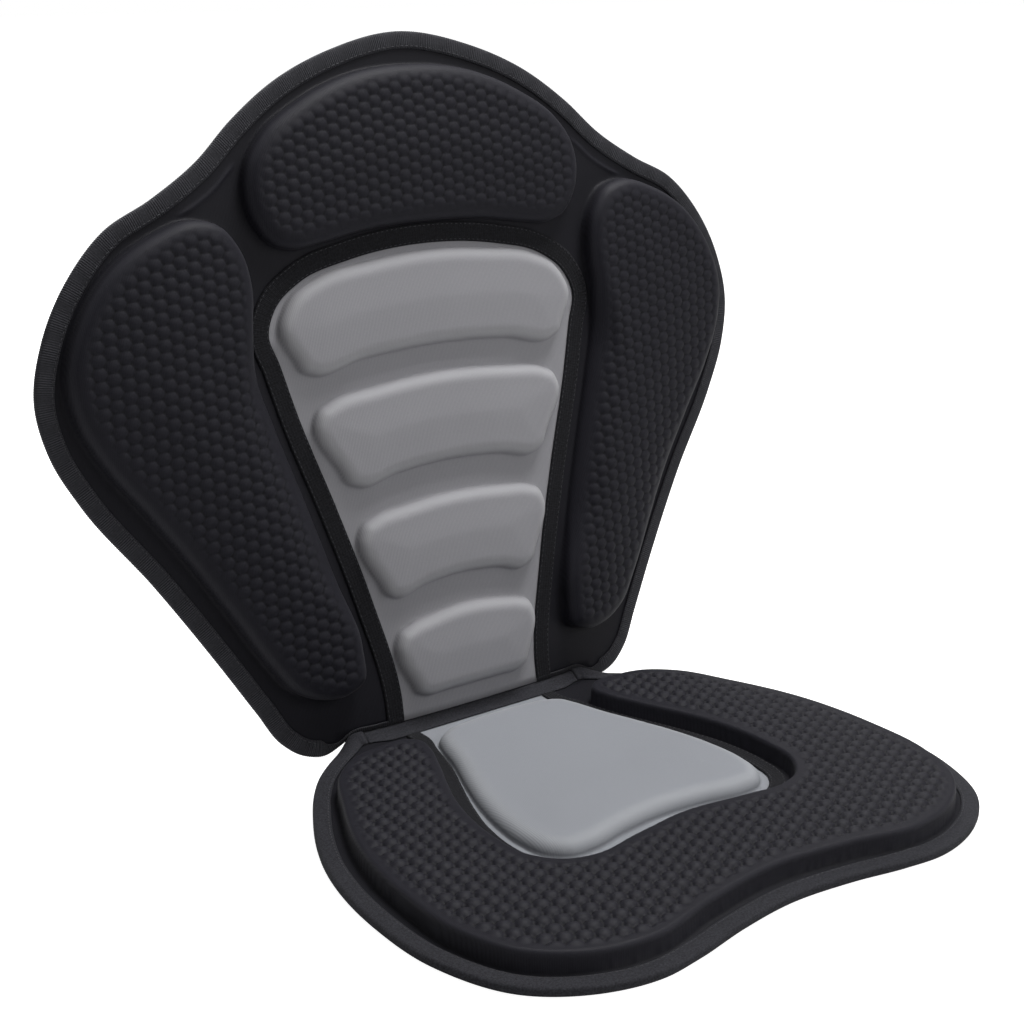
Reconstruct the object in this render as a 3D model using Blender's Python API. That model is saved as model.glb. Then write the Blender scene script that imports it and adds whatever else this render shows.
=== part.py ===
"""A padded kayak seat: a moulded seat base and a taller moulded backrest on a cloth hinge.

Frame: metres, +Z up, X across the seat, the sitter faces -Y. The origin lies on the flat
underside of the seat base, halfway along its depth.

Each panel is drawn on a flat plan, as a real moulded foam panel is. The seat's plan is measured
across the seat and back from its rear edge, and the backrest's across the panel and up from the
hinge axis. Outlines are halves, mirrored about the middle, and their points are shares of the
panel's half width and of its length, so an outline follows the panel when its size changes.
"""
import math

import bmesh
import bpy
import numpy as np
from mathutils.geometry import delaunay_2d_cdt

# Overall sizes of the two panels
SEAT_WIDTH = 0.380
SEAT_DEPTH = 0.310
BACK_WIDTH = 0.510
BACK_HEIGHT = 0.426
BACK_LEAN = math.radians(10.0)

# The backrest's sides sweep back below this height: by this depth at the hinge's level, half a
# backrest's width out from the middle
BACK_LEVEL_HEIGHT = 0.332
BACK_SWEEP_DEPTH = 0.0322

# Layers of a panel, from its rear or underside, with a working gap between neighbours
COVER_THICKNESS = 0.0011
FLANGE_THICKNESS = 0.0031
TAPE_THICKNESS = 0.0008
CLEARANCE = 0.0003

# Woven tapes
BINDING_WIDTH = 0.0105
BINDING_ROUNDING = 0.0009
SEAT_TAPE_WIDTH = 0.010
BACK_TAPE_WIDTH = 0.012
TAPE_LEAD = 0.012

# Cloth hinge: a rolled tape along the axis that the panels meet at
HINGE_LENGTH = 0.164
HINGE_RADIUS = 0.0042
HINGE_HEIGHT = 0.005
HINGE_SETBACK = 0.004
BACK_REAR_SETBACK = 0.0019
BACK_BINDING_END = 0.0483

# The seat's rear corners: how far beyond the hinge's end the rear edge stays straight, and where
# the rounded corner passes, beyond that end and forward of the edge
SEAT_CORNER_LEAD = 0.0055
SEAT_CORNER_REACH = 0.018
SEAT_CORNER_RISE = 0.008

# Height of each moulded pad over its flange, and the width of its rounded edge
SEAT_PAD_HEIGHT = 0.0125
SEAT_PAD_EDGE = 0.005
SEAT_CENTRE_HEIGHT = 0.0105
SEAT_CENTRE_EDGE = 0.010
HEAD_PAD_HEIGHT = 0.0135
HEAD_PAD_EDGE = 0.014
WING_PAD_HEIGHT = 0.0165
WING_PAD_EDGE = 0.015
LUMBAR_HEIGHT = 0.0095
LUMBAR_EDGE = 0.008

# Lumbar pads on the grey centre panel, from the top one down. Each has its top and bottom edge at
# the middle as a share of the backrest's height, and for both edges the half width and the corner
# radius as shares of its half width, and the arch, which is how much lower the edge's ends lie than
# its middle, as a share of its height
LUMBAR_SHARES = (
    {"top": (0.6915, 0.4235, 0.1412, 0.0188), "bottom": (0.5554, 0.3882, 0.0431, 0.0188)},
    {"top": (0.5155, 0.3608, 0.0549, 0.0188), "bottom": (0.3840, 0.3059, 0.0549, 0.0164)},
    {"top": (0.3371, 0.2784, 0.0510, 0.0141), "bottom": (0.2127, 0.2353, 0.0510, 0.0164)},
    {"top": (0.1681, 0.2098, 0.0471, 0.0141), "bottom": (0.0423, 0.1784, 0.0431, 0.0)},
)

# Where an arched edge has its points: at this share of its straight part, and at these turns
# round its corner, in degrees
ARCH_POINT = 0.6
CORNER_TURNS = (10, 45, 80)

# Spacing of points along outlines, across a shaped surface and across a flat underside
STEP = 0.0135
GRID = 0.026
FLAT_GRID = 0.080

# Rings of points across a pad's rounded edge, as shares of the edge's width, and how near to a
# line the points of the grid may come, as a share of its spacing
EDGE_RING_SHARES = (0.0, 0.08, 0.32, 1.0)
GRID_SPARE_SHARE = 0.45

# Half outlines of the seat: shares of its half width and of its depth from the rear
SEAT_OUTLINE_SHARES = (
    (0.000, 0.955), (0.211, 0.968), (0.395, 0.990), (0.526, 0.998), (0.684, 0.977), (0.868, 0.903),
    (0.979, 0.758), (1.000, 0.613), (0.953, 0.403), (0.842, 0.245), (0.684, 0.103),
)
SEAT_WINDOW_SHARES = (
    (0.000, 0.629), (0.158, 0.639), (0.289, 0.655), (0.379, 0.648), (0.442, 0.613), (0.461, 0.555),
    (0.453, 0.468), (0.418, 0.387), (0.368, 0.306), (0.313, 0.219), (0.276, 0.135),
)
SEAT_WINDOW_REAR_SHARE = 0.253
SEAT_PAD_SHARES = (
    (0.000, 0.906), (0.263, 0.926), (0.500, 0.956), (0.684, 0.932), (0.826, 0.865), (0.900, 0.758),
    (0.913, 0.613), (0.874, 0.435), (0.779, 0.284), (0.684, 0.177), (0.589, 0.132), (0.474, 0.119),
    (0.384, 0.123), (0.347, 0.145), (0.353, 0.187), (0.389, 0.248), (0.442, 0.323), (0.489, 0.397),
    (0.518, 0.474), (0.526, 0.555), (0.511, 0.626), (0.453, 0.674), (0.358, 0.695), (0.237, 0.687),
    (0.000, 0.668),
)
SEAT_CENTRE_PAD_SHARES = (
    (0.000, 0.615), (0.158, 0.624), (0.289, 0.639), (0.368, 0.634), (0.418, 0.603), (0.437, 0.548),
    (0.429, 0.468), (0.395, 0.384), (0.345, 0.303), (0.289, 0.216), (0.250, 0.145), (0.200, 0.100),
    (0.105, 0.089), (0.000, 0.087),
)

# Half outlines of the backrest: shares of its half width and of its height from the hinge axis
BACK_OUTLINE_SHARES = (
    (0.000, 1.000), (0.196, 0.978), (0.353, 0.939), (0.471, 0.891), (0.569, 0.840), (0.686, 0.797),
    (0.804, 0.762), (0.894, 0.708), (0.969, 0.630), (1.000, 0.554), (0.980, 0.480), (0.925, 0.410),
    (0.784, 0.285), (0.647, 0.149), (0.576, 0.074), (0.525, 0.022), (0.478, -0.001), (0.424, -0.009),
    (0.380, 0.000),
)
BACK_OUTLINE_FOOT_SHARE = 0.345
BACK_WINDOW_SHARES = (
    (0.000, 0.701), (0.216, 0.689), (0.345, 0.668), (0.416, 0.637), (0.443, 0.600), (0.424, 0.558),
    (0.392, 0.482), (0.322, 0.346), (0.255, 0.201),
)
BACK_WINDOW_FOOT_SHARE = 0.205
HEAD_PAD_SHARES = (
    (0.000, 0.954), (0.157, 0.945), (0.314, 0.910), (0.412, 0.872), (0.463, 0.830), (0.475, 0.795),
    (0.459, 0.752), (0.420, 0.722), (0.369, 0.712), (0.294, 0.716), (0.176, 0.727), (0.000, 0.732),
)
WING_PAD_SHARES = (
    (0.608, 0.766), (0.714, 0.750), (0.820, 0.712), (0.898, 0.654), (0.941, 0.579), (0.925, 0.516),
    (0.871, 0.451), (0.800, 0.390), (0.714, 0.312), (0.627, 0.224), (0.549, 0.142), (0.502, 0.102),
    (0.443, 0.080), (0.373, 0.074), (0.318, 0.089), (0.310, 0.141), (0.345, 0.235), (0.404, 0.364),
    (0.459, 0.474), (0.492, 0.554), (0.492, 0.615), (0.484, 0.668), (0.504, 0.722), (0.550, 0.756),
)

# Places that follow from the sizes above
FLANGE_UNDERSIDE = COVER_THICKNESS + CLEARANCE
FLANGE_TOP = FLANGE_UNDERSIDE + FLANGE_THICKNESS
TAPE_UNDERSIDE = FLANGE_TOP + CLEARANCE
TAPE_TOP = TAPE_UNDERSIDE + TAPE_THICKNESS
HINGE_REACH = HINGE_RADIUS + CLEARANCE
HINGE_SIDE = HINGE_LENGTH / 2 + CLEARANCE
SEAT_REAR_AT_HINGE = HINGE_SETBACK + HINGE_REACH
BINDING_REACH = BINDING_WIDTH + CLEARANCE
EDGE_INSET = TAPE_THICKNESS + CLEARANCE
HINGE_AXIS = (0.0, SEAT_DEPTH / 2 - HINGE_SETBACK, HINGE_HEIGHT)


def clear_scene():
    """Remove every object of the open scene."""
    for thing in list(bpy.data.objects):
        bpy.data.objects.remove(thing, do_unlink=True)


def finish(name, colour, roughness):
    """Make a Principled material of one colour."""
    material = bpy.data.materials.new(name)
    material.use_nodes = True
    shader = material.node_tree.nodes["Principled BSDF"]
    shader.inputs["Base Color"].default_value = (*colour, 1.0)
    shader.inputs["Roughness"].default_value = roughness
    shader.inputs["Metallic"].default_value = 0.0
    material.diffuse_color = (*colour, 1.0)
    return material


def sized(shares, half_width, length):
    """Turn shares of a panel's half width and length into metres on its plan."""
    return np.array(shares) * (half_width, length)


def across(half):
    """Mirror an open half line about the middle: it runs from the left end to the right end."""
    middle = half[1:] if half[0][0] == 0.0 else half
    return np.vstack([(middle * (-1.0, 1.0))[::-1], half])


def around(half):
    """Mirror a half outline that starts and ends on the middle into a closed loop."""
    return np.vstack([half, (half[1:-1] * (-1.0, 1.0))[::-1]])


def smooth(points, closed=False):
    """Run a smooth curve through the points, with a vertex about every STEP."""
    ring = np.vstack([points[-1:], points, points[:2]]) if closed else points
    if not closed:
        ring = np.vstack([2 * points[0] - points[1], points, 2 * points[-1] - points[-2]])
    gaps = np.linalg.norm(np.diff(ring, axis=0), axis=1)[:, None]
    slopes = np.diff(ring, axis=0) / gaps
    tangents = (slopes[1:] * gaps[:-1] + slopes[:-1] * gaps[1:]) / (gaps[1:] + gaps[:-1])
    curve = []
    for index in range(1, len(ring) - 2):
        start, end, gap = ring[index], ring[index + 1], gaps[index]
        count = max(1, round(float(gap[0]) / STEP))
        for t in np.arange(count) / count:
            curve.append(
                start * (2 * t ** 3 - 3 * t ** 2 + 1) + end * (3 * t ** 2 - 2 * t ** 3)
                + tangents[index - 1] * gap * (t ** 3 - 2 * t ** 2 + t)
                + tangents[index] * gap * (t ** 3 - t ** 2)
            )
    if not closed:
        curve.append(points[-1])
    return np.array(curve)


def leftwards(line):
    """Return the line in the direction that keeps the area it bounds on its left."""
    following = np.roll(line, -1, axis=0)
    area = np.sum(line[:, 0] * following[:, 1] - following[:, 0] * line[:, 1])
    return line if area > 0 else line[::-1]


def edge_line(half, side, foot):
    """Draw a panel's outline, with straight stretches that end on both sides of the hinge."""
    run = [(x, foot) for x in np.arange(half[-1][0] - STEP, side + STEP / 3, -STEP)]
    return leftwards(smooth(across(np.vstack([half, *run, (side, foot)]))))


def window_line(half, side, foot):
    """Draw a window's edge, whose two ends run straight up to the foot."""
    ends = [(side, foot + TAPE_LEAD), (side, foot)]
    return leftwards(smooth(across(np.vstack([half, ends]))))


def seam_line(window, width, foot):
    """Move a window's edge outwards by a width and carry both ends on to the foot."""
    seam = inset(window, -width)
    return np.vstack([(seam[0][0], foot), seam, (seam[-1][0], foot)])


def closed_across(line):
    """Carry a line from its last point straight back to its first, in even steps."""
    count = math.ceil(np.linalg.norm(line[0] - line[-1]) / STEP)
    return np.vstack([line, np.linspace(line[-1], line[0], count + 1)[1:-1]])


def inset(line, distance, closed=False):
    """Move a line towards the area on its left by a distance (outwards if it is negative)."""
    if closed:
        along = np.roll(line, -1, axis=0) - np.roll(line, 1, axis=0)
    else:
        along = np.gradient(line, axis=0)
    along = along / np.linalg.norm(along, axis=1)[:, None]
    return line + np.column_stack([-along[:, 1], along[:, 0]]) * distance


def is_inside(points, loop):
    """Tell which points lie inside a closed loop."""
    x, y = points[:, :1], points[:, 1:]
    start, end = loop, np.roll(loop, -1, axis=0)
    crosses = (start[:, 1] > y) != (end[:, 1] > y)
    rise = np.where(end[:, 1] == start[:, 1], 1.0, end[:, 1] - start[:, 1])
    reach = start[:, 0] + (y - start[:, 1]) * (end[:, 0] - start[:, 0]) / rise
    return (crosses & (x < reach)).sum(axis=1) % 2 == 1


def edge_distance(points, loop):
    """Measure how far each point lies from a closed loop."""
    along = np.roll(loop, -1, axis=0) - loop
    offset = points[:, None, :] - loop[None, :, :]
    share = np.clip((offset * along).sum(axis=2) / (along ** 2).sum(axis=1), 0.0, 1.0)
    return np.linalg.norm(offset - share[:, :, None] * along, axis=2).min(axis=1)


def triangulated(boundary, rings, grid):
    """Fill a boundary with triangles that keep the rings as edges.

    Returns the points, with the boundary's first and in order, and the triangles' corners.
    """
    low, high = boundary.min(axis=0), boundary.max(axis=0)
    rows = np.arange(low[1], high[1], grid * math.sqrt(0.75))
    columns = np.arange(low[0], high[0], grid)
    points = [(x + grid / 2 * (row % 2), y) for row, y in enumerate(rows) for x in columns]
    points = np.array(points)
    keep = is_inside(points, boundary)
    for loop in (boundary, *rings):
        keep &= edge_distance(points, loop) > grid * GRID_SPARE_SHARE
    loops = [boundary, *rings]
    corners = np.vstack([*loops, points[keep]])
    edges = []
    first = 0
    for loop in loops:
        edges += [(first + i, first + (i + 1) % len(loop)) for i in range(len(loop))]
        first += len(loop)
    verts, _, faces, origins, _, _ = delaunay_2d_cdt(corners.tolist(), edges, [], 0, 1e-7)
    order = {source: place for place, sources in enumerate(origins) for source in sources}
    ranks = [order[i] for i in range(len(boundary))]
    ranks += [i for i in range(len(verts)) if i not in set(ranks)]
    renamed = {place: rank for rank, place in enumerate(ranks)}
    flat = np.array([tuple(verts[place]) for place in ranks])
    faces = np.array([[renamed[corner] for corner in face] for face in faces])
    return flat, faces[is_inside(flat[faces].mean(axis=1), boundary)]


def pad_rings(outline, edge):
    """Draw the rings that a pad's rounded edge needs, from its foot inwards."""
    return [inset(outline, edge * share, closed=True) for share in EDGE_RING_SHARES]


def pad_rise(points, outline, height, edge):
    """Height of one pad over its flange: a rounded edge up to a level top."""
    depth = np.where(is_inside(points, outline), edge_distance(points, outline), 0.0)
    share = np.clip(depth / edge, 0.0, 1.0)
    return height * np.sqrt(1.0 - (1.0 - share) ** 2)


def on_seat(x, y, height):
    """Place a point of the seat's plan, y metres from the rear edge, at a height."""
    return (x, SEAT_DEPTH / 2 - y, height)


def on_back(x, up, height):
    """Place a point of the backrest's plan in the frame of the hinge axis."""
    outwards = (x / (BACK_WIDTH / 2)) ** 2
    sweep = BACK_SWEEP_DEPTH * outwards * (1.0 - up / BACK_LEVEL_HEIGHT)
    return (x, BACK_REAR_SETBACK + sweep - height, up)


def add_object(name, mesh, material, parent):
    """Store a bmesh as a named object with one material."""
    bmesh.ops.recalc_face_normals(mesh, faces=mesh.faces)
    data = bpy.data.meshes.new(name)
    mesh.to_mesh(data)
    mesh.free()
    data.shade_smooth()
    data.set_sharp_from_angle(angle=math.radians(40))
    data.materials.append(material)
    thing = bpy.data.objects.new(name, data)
    thing.parent = parent
    bpy.context.collection.objects.link(thing)
    return thing


def sheet(name, material, place, boundary, underside, top, rings=(), parent=None):
    """Build a closed sheet between a plain underside and a shaped top."""
    boundary = leftwards(boundary)
    mesh = bmesh.new()
    points, faces = triangulated(boundary, rings, GRID)
    upper = [mesh.verts.new(place(x, y, h)) for (x, y), h in zip(points, top(points))]
    for face in faces:
        mesh.faces.new([upper[corner] for corner in face])
    points, faces = triangulated(boundary, (), GRID if parent else FLAT_GRID)
    lower = [mesh.verts.new(place(x, y, underside)) for x, y in points]
    for face in faces:
        mesh.faces.new([lower[corner] for corner in reversed(face)])
    for index in range(len(boundary)):
        after = (index + 1) % len(boundary)
        mesh.faces.new([lower[index], lower[after], upper[after], upper[index]])
    return add_object(name, mesh, material, parent)


def band(name, material, place, line, section, parent=None):
    """Sweep a closed section of (inset, height) corners along an open line."""
    mesh = bmesh.new()
    rows = [
        [mesh.verts.new(place(x, y, height)) for x, y in inset(line, distance)]
        for distance, height in section
    ]
    for row, beside in zip(rows, rows[1:] + rows[:1]):
        for index in range(len(line) - 1):
            mesh.faces.new([row[index], row[index + 1], beside[index + 1], beside[index]])
    mesh.faces.new([row[0] for row in rows])
    mesh.faces.new([row[-1] for row in reversed(rows)])
    return add_object(name, mesh, material, parent)


def binding_section():
    """Section of the edge binding: a tape folded over the edge, open inwards."""
    low = CLEARANCE
    return (
        (BINDING_WIDTH, low), (BINDING_ROUNDING, low), (0.0, low + BINDING_ROUNDING),
        (0.0, TAPE_TOP - BINDING_ROUNDING), (BINDING_ROUNDING, TAPE_TOP), (BINDING_WIDTH, TAPE_TOP),
        (BINDING_WIDTH, TAPE_UNDERSIDE), (TAPE_THICKNESS, TAPE_UNDERSIDE),
        (TAPE_THICKNESS, low + TAPE_THICKNESS), (BINDING_WIDTH, low + TAPE_THICKNESS),
    )


def tape_section(width):
    """Section of a flat tape that lies outside a window's edge."""
    return ((0.0, TAPE_UNDERSIDE), (0.0, TAPE_TOP), (-width, TAPE_TOP), (-width, TAPE_UNDERSIDE))


def lumbar_edge(edge, side):
    """Draw half of a lumbar pad's top edge (side 1) or bottom edge (side -1), from the middle."""
    half_width, radius = np.array(edge[1:3]) * (BACK_WIDTH / 2)
    middle, arch = edge[0] * BACK_HEIGHT, edge[3] * BACK_HEIGHT
    straight = half_width - radius
    points = [(0.0, middle), (straight * ARCH_POINT, middle - arch * ARCH_POINT ** 2)]
    for turn in np.radians(CORNER_TURNS):
        drop = side * radius * (1 - math.cos(turn))
        points.append((straight + radius * math.sin(turn), middle - arch - drop))
    return points


def lumbar_outline(top, bottom):
    """Draw one lumbar pad's outline: an arched box with round corners."""
    half = lumbar_edge(top, 1) + lumbar_edge(bottom, -1)[::-1]
    return leftwards(smooth(around(np.array(half)), closed=True))


def build_seat(black, trim, grey, underside_cloth):
    """Build the seat base, which the whole part rests on."""
    half = SEAT_WIDTH / 2
    corner = [(HINGE_SIDE + SEAT_CORNER_REACH, SEAT_CORNER_RISE),
              (HINGE_SIDE + SEAT_CORNER_LEAD, 0.0)]
    half_outline = np.vstack([sized(SEAT_OUTLINE_SHARES, half, SEAT_DEPTH), corner])
    outline = edge_line(half_outline, HINGE_SIDE, 0.0)
    window_side = SEAT_WINDOW_REAR_SHARE * half
    window = window_line(sized(SEAT_WINDOW_SHARES, half, SEAT_DEPTH), window_side,
                         SEAT_REAR_AT_HINGE)
    pad = leftwards(smooth(around(sized(SEAT_PAD_SHARES, half, SEAT_DEPTH)), closed=True))
    centre = leftwards(smooth(around(sized(SEAT_CENTRE_PAD_SHARES, half, SEAT_DEPTH)), closed=True))

    base = inset(outline, BINDING_REACH)
    sheet("seat_base_sheet", underside_cloth, on_seat, base, 0.0,
          lambda points: np.full(len(points), COVER_THICKNESS))

    seam_width = (SEAT_TAPE_WIDTH + CLEARANCE) / 2
    edge = inset(outline, EDGE_INSET)
    notches = [(edge[place][0], SEAT_REAR_AT_HINGE) for place in (0, -1)]
    boundary = np.vstack([notches[0], edge, notches[1], inset(window, -seam_width)[::-1]])
    sheet("seat_moulded_pad", black, on_seat, boundary, FLANGE_UNDERSIDE,
          lambda points: FLANGE_TOP + pad_rise(points, pad, SEAT_PAD_HEIGHT, SEAT_PAD_EDGE),
          rings=pad_rings(pad, SEAT_PAD_EDGE))

    panel = closed_across(inset(window, -(SEAT_TAPE_WIDTH - CLEARANCE) / 2))
    sheet("seat_centre_pad", grey, on_seat, panel, FLANGE_UNDERSIDE,
          lambda points: FLANGE_TOP + pad_rise(points, centre, SEAT_CENTRE_HEIGHT, SEAT_CENTRE_EDGE),
          rings=pad_rings(centre, SEAT_CENTRE_EDGE))

    band("seat_edge_binding", trim, on_seat, outline, binding_section())
    band("seat_centre_tape", trim, on_seat, window, tape_section(SEAT_TAPE_WIDTH))


def build_hinge(trim):
    """Build the rolled tape that the panels meet at."""
    mesh = bmesh.new()
    bmesh.ops.create_cone(mesh, cap_ends=True, segments=20, radius1=HINGE_RADIUS,
                          radius2=HINGE_RADIUS, depth=HINGE_LENGTH)
    hinge = add_object("hinge_tape", mesh, trim, None)
    hinge.location = HINGE_AXIS
    hinge.rotation_euler = (0.0, math.pi / 2, 0.0)


def build_back(black, trim, grey, rear_cloth):
    """Build the backrest on an empty that lies on the hinge axis and leans with the panel."""
    fold = bpy.data.objects.new("backrest_fold_axis", None)
    fold.location = HINGE_AXIS
    fold.rotation_euler = (-BACK_LEAN, 0.0, 0.0)
    bpy.context.collection.objects.link(fold)

    half = BACK_WIDTH / 2
    corner = (BACK_OUTLINE_FOOT_SHARE * half, HINGE_REACH)
    half_outline = np.vstack([sized(BACK_OUTLINE_SHARES, half, BACK_HEIGHT), corner])
    outline = edge_line(half_outline, BACK_BINDING_END, HINGE_REACH)
    window_side = BACK_WINDOW_FOOT_SHARE * half
    window = window_line(sized(BACK_WINDOW_SHARES, half, BACK_HEIGHT), window_side,
                         HINGE_REACH + BINDING_REACH)
    head = leftwards(smooth(around(sized(HEAD_PAD_SHARES, half, BACK_HEIGHT)), closed=True))
    wing = smooth(sized(WING_PAD_SHARES, half, BACK_HEIGHT), closed=True)
    wings = [leftwards(wing), leftwards(wing * (-1.0, 1.0))]

    cover = closed_across(inset(outline, BINDING_REACH))
    sheet("backrest_rear_cover", rear_cloth, on_back, cover, 0.0,
          lambda points: np.full(len(points), COVER_THICKNESS), parent=fold)

    seam_width = (BACK_TAPE_WIDTH + CLEARANCE) / 2
    edge = inset(edge_line(half_outline, window_side + seam_width, HINGE_REACH), EDGE_INSET)
    boundary = np.vstack([edge, inset(window, -seam_width)[::-1]])

    def shell_top(points):
        """Height of the black shell: its flange, the head pad and the two wing pads."""
        rise = pad_rise(points, head, HEAD_PAD_HEIGHT, HEAD_PAD_EDGE)
        for loop in wings:
            rise += pad_rise(points, loop, WING_PAD_HEIGHT, WING_PAD_EDGE)
        return FLANGE_TOP + rise

    rings = pad_rings(head, HEAD_PAD_EDGE)
    for loop in wings:
        rings += pad_rings(loop, WING_PAD_EDGE)
    sheet("backrest_moulded_shell", black, on_back, boundary, FLANGE_UNDERSIDE, shell_top,
          rings=rings, parent=fold)

    panel = seam_line(window, (BACK_TAPE_WIDTH - CLEARANCE) / 2, HINGE_REACH + EDGE_INSET)
    panel = closed_across(panel)
    lumbar = [lumbar_outline(**pad) for pad in LUMBAR_SHARES]

    def panel_top(points):
        """Height of the grey centre panel: its flange and the lumbar pads."""
        rise = sum(pad_rise(points, loop, LUMBAR_HEIGHT, LUMBAR_EDGE) for loop in lumbar)
        return FLANGE_TOP + rise

    rings = [ring for loop in lumbar for ring in pad_rings(loop, LUMBAR_EDGE)]
    sheet("backrest_centre_panel", grey, on_back, panel, FLANGE_UNDERSIDE, panel_top,
          rings=rings, parent=fold)

    band("backrest_edge_binding", trim, on_back, outline, binding_section(), parent=fold)
    band("backrest_centre_tape", trim, on_back, window, tape_section(BACK_TAPE_WIDTH), parent=fold)


def main():
    """Build the whole seat."""
    clear_scene()
    black = finish("black_moulded_fabric", (0.018, 0.019, 0.022), 0.85)
    trim = finish("black_woven_tape", (0.030, 0.030, 0.033), 0.9)
    back_grey = finish("mid_grey_knit", (0.20, 0.20, 0.21), 0.9)
    seat_grey = finish("light_grey_knit", (0.29, 0.31, 0.33), 0.9)
    plain = finish("black_plain_cloth", (0.016, 0.016, 0.018), 0.95)
    build_seat(black, trim, seat_grey, plain)
    build_hinge(trim)
    build_back(black, trim, back_grey, plain)


main()
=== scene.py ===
"""Looks of a padded kayak seat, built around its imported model.

The seat base and the backrest are flat moulded panels, so every surface is drawn on a panel's flat
plan and then placed. The seat's plan is measured across the seat and forward from its rear edge,
the backrest's across the panel and up from the hinge axis. Heights run outwards from the panel's
plain side. Sizes are in metres unless a name says otherwise, and outlines are halves, mirrored
about the middle, whose points are shares of the panel's half width and of its length.
"""
import logging
import math
from dataclasses import dataclass, field
from enum import Enum

import bpy
import numpy as np
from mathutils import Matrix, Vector
from mathutils.geometry import delaunay_2d_cdt


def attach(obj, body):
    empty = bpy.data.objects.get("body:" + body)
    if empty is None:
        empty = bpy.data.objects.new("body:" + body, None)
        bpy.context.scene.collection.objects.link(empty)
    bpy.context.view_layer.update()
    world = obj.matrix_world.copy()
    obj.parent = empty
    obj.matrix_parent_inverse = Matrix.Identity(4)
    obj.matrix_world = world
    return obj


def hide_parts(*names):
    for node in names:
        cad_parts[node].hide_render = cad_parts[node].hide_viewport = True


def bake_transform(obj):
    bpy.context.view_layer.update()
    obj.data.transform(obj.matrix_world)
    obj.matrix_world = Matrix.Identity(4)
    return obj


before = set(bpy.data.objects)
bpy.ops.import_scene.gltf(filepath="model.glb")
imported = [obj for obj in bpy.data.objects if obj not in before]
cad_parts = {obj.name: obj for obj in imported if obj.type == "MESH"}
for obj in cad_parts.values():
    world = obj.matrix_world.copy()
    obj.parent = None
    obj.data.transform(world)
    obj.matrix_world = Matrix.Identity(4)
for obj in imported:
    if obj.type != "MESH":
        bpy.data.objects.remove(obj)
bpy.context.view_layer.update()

LOG = logging.getLogger("kayak_seat")

# Layers of a panel, from its plain side, with the working gap between neighbours
COVER_THICKNESS = 0.0011
FLANGE_THICKNESS = 0.0031
TAPE_THICKNESS = 0.0008
CLEARANCE = 0.0003
FLANGE_UNDERSIDE = COVER_THICKNESS + CLEARANCE
FLANGE_TOP = FLANGE_UNDERSIDE + FLANGE_THICKNESS
TAPE_UNDERSIDE = FLANGE_TOP + CLEARANCE
TAPE_TOP = TAPE_UNDERSIDE + TAPE_THICKNESS
EDGE_INSET = TAPE_THICKNESS + CLEARANCE

# The hinge between the panels
HINGE_LENGTH = 0.164
HINGE_RADIUS = 0.0042
HINGE_HEIGHT = 0.005
HINGE_SETBACK = 0.004
HINGE_REACH = HINGE_RADIUS + CLEARANCE
HINGE_SIDE = HINGE_LENGTH / 2 + CLEARANCE
SEAT_REAR_AT_HINGE = HINGE_SETBACK + HINGE_REACH

# Point spacings: along outlines, over flanges, smooth pad faces, plain sheets and hidden sides
LINE_STEP = 0.0025
FLANGE_GRID = 0.0055
FACE_GRID = 0.0022
SHEET_GRID = 0.008
HIDDEN_GRID = 0.020

# A lattice's row spacing, and its least distance from an outline on shown and on hidden sides,
# as shares of its point spacing
ROW_SHARE = 0.866
SHOWN_SPARE = 0.6
HIDDEN_SPARE = 0.3

# How many points are measured against an outline at once
POINTS_AT_ONCE = 4000

# Tapes: points drawn over each cross rib, the seam tapes' rib spacing, and how far their ribs
# and their lengthwise cords stand out
POINTS_PER_RIB = 4
SEAM_RIB = 0.0017
SEAM_RIB_HEIGHT = 0.00012
SEAM_CORD_HEIGHT = 0.0003

# Bindings: radius of the folded corners and swell of the face between them
FOLD_RADIUS = 0.0018
FOLD_SWELL = 0.0003

# Stitches: how far they lie in from the edge of a binding and of a seam tape, and their height
BINDING_STITCHES = 0.0016
SEAM_STITCHES = 0.0012
STITCH_HEIGHT = TAPE_TOP + 0.0001

UV_NAME = "cloth"
# The per-point attribute holds the cloth's real stretching and painted highlights above 0, and
# painted shade below 0.
STRETCH_AND_SHADING_NAME = "stretch_and_shading"
MILLIMETRES = 1000.0


# Lines on a plan

def mirrored_line(half: np.ndarray) -> np.ndarray:
    """Mirror an open half line about the middle.

    Args:
        half: points from the middle outwards.

    Returns:
        The whole line, from its left end to its right end.
    """
    middle = half[1:] if half[0][0] == 0.0 else half
    return np.vstack([(middle * (-1.0, 1.0))[::-1], half])


def mirrored_loop(half: np.ndarray) -> np.ndarray:
    """Mirror a half outline that starts and ends on the middle into a closed loop."""
    return np.vstack([half, (half[1:-1] * (-1.0, 1.0))[::-1]])


def pad_loop(half: np.ndarray) -> np.ndarray:
    """Draw a pad's smooth closed outline from half of it."""
    return leftwards(curve_through(mirrored_loop(half), closed=True))


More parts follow.
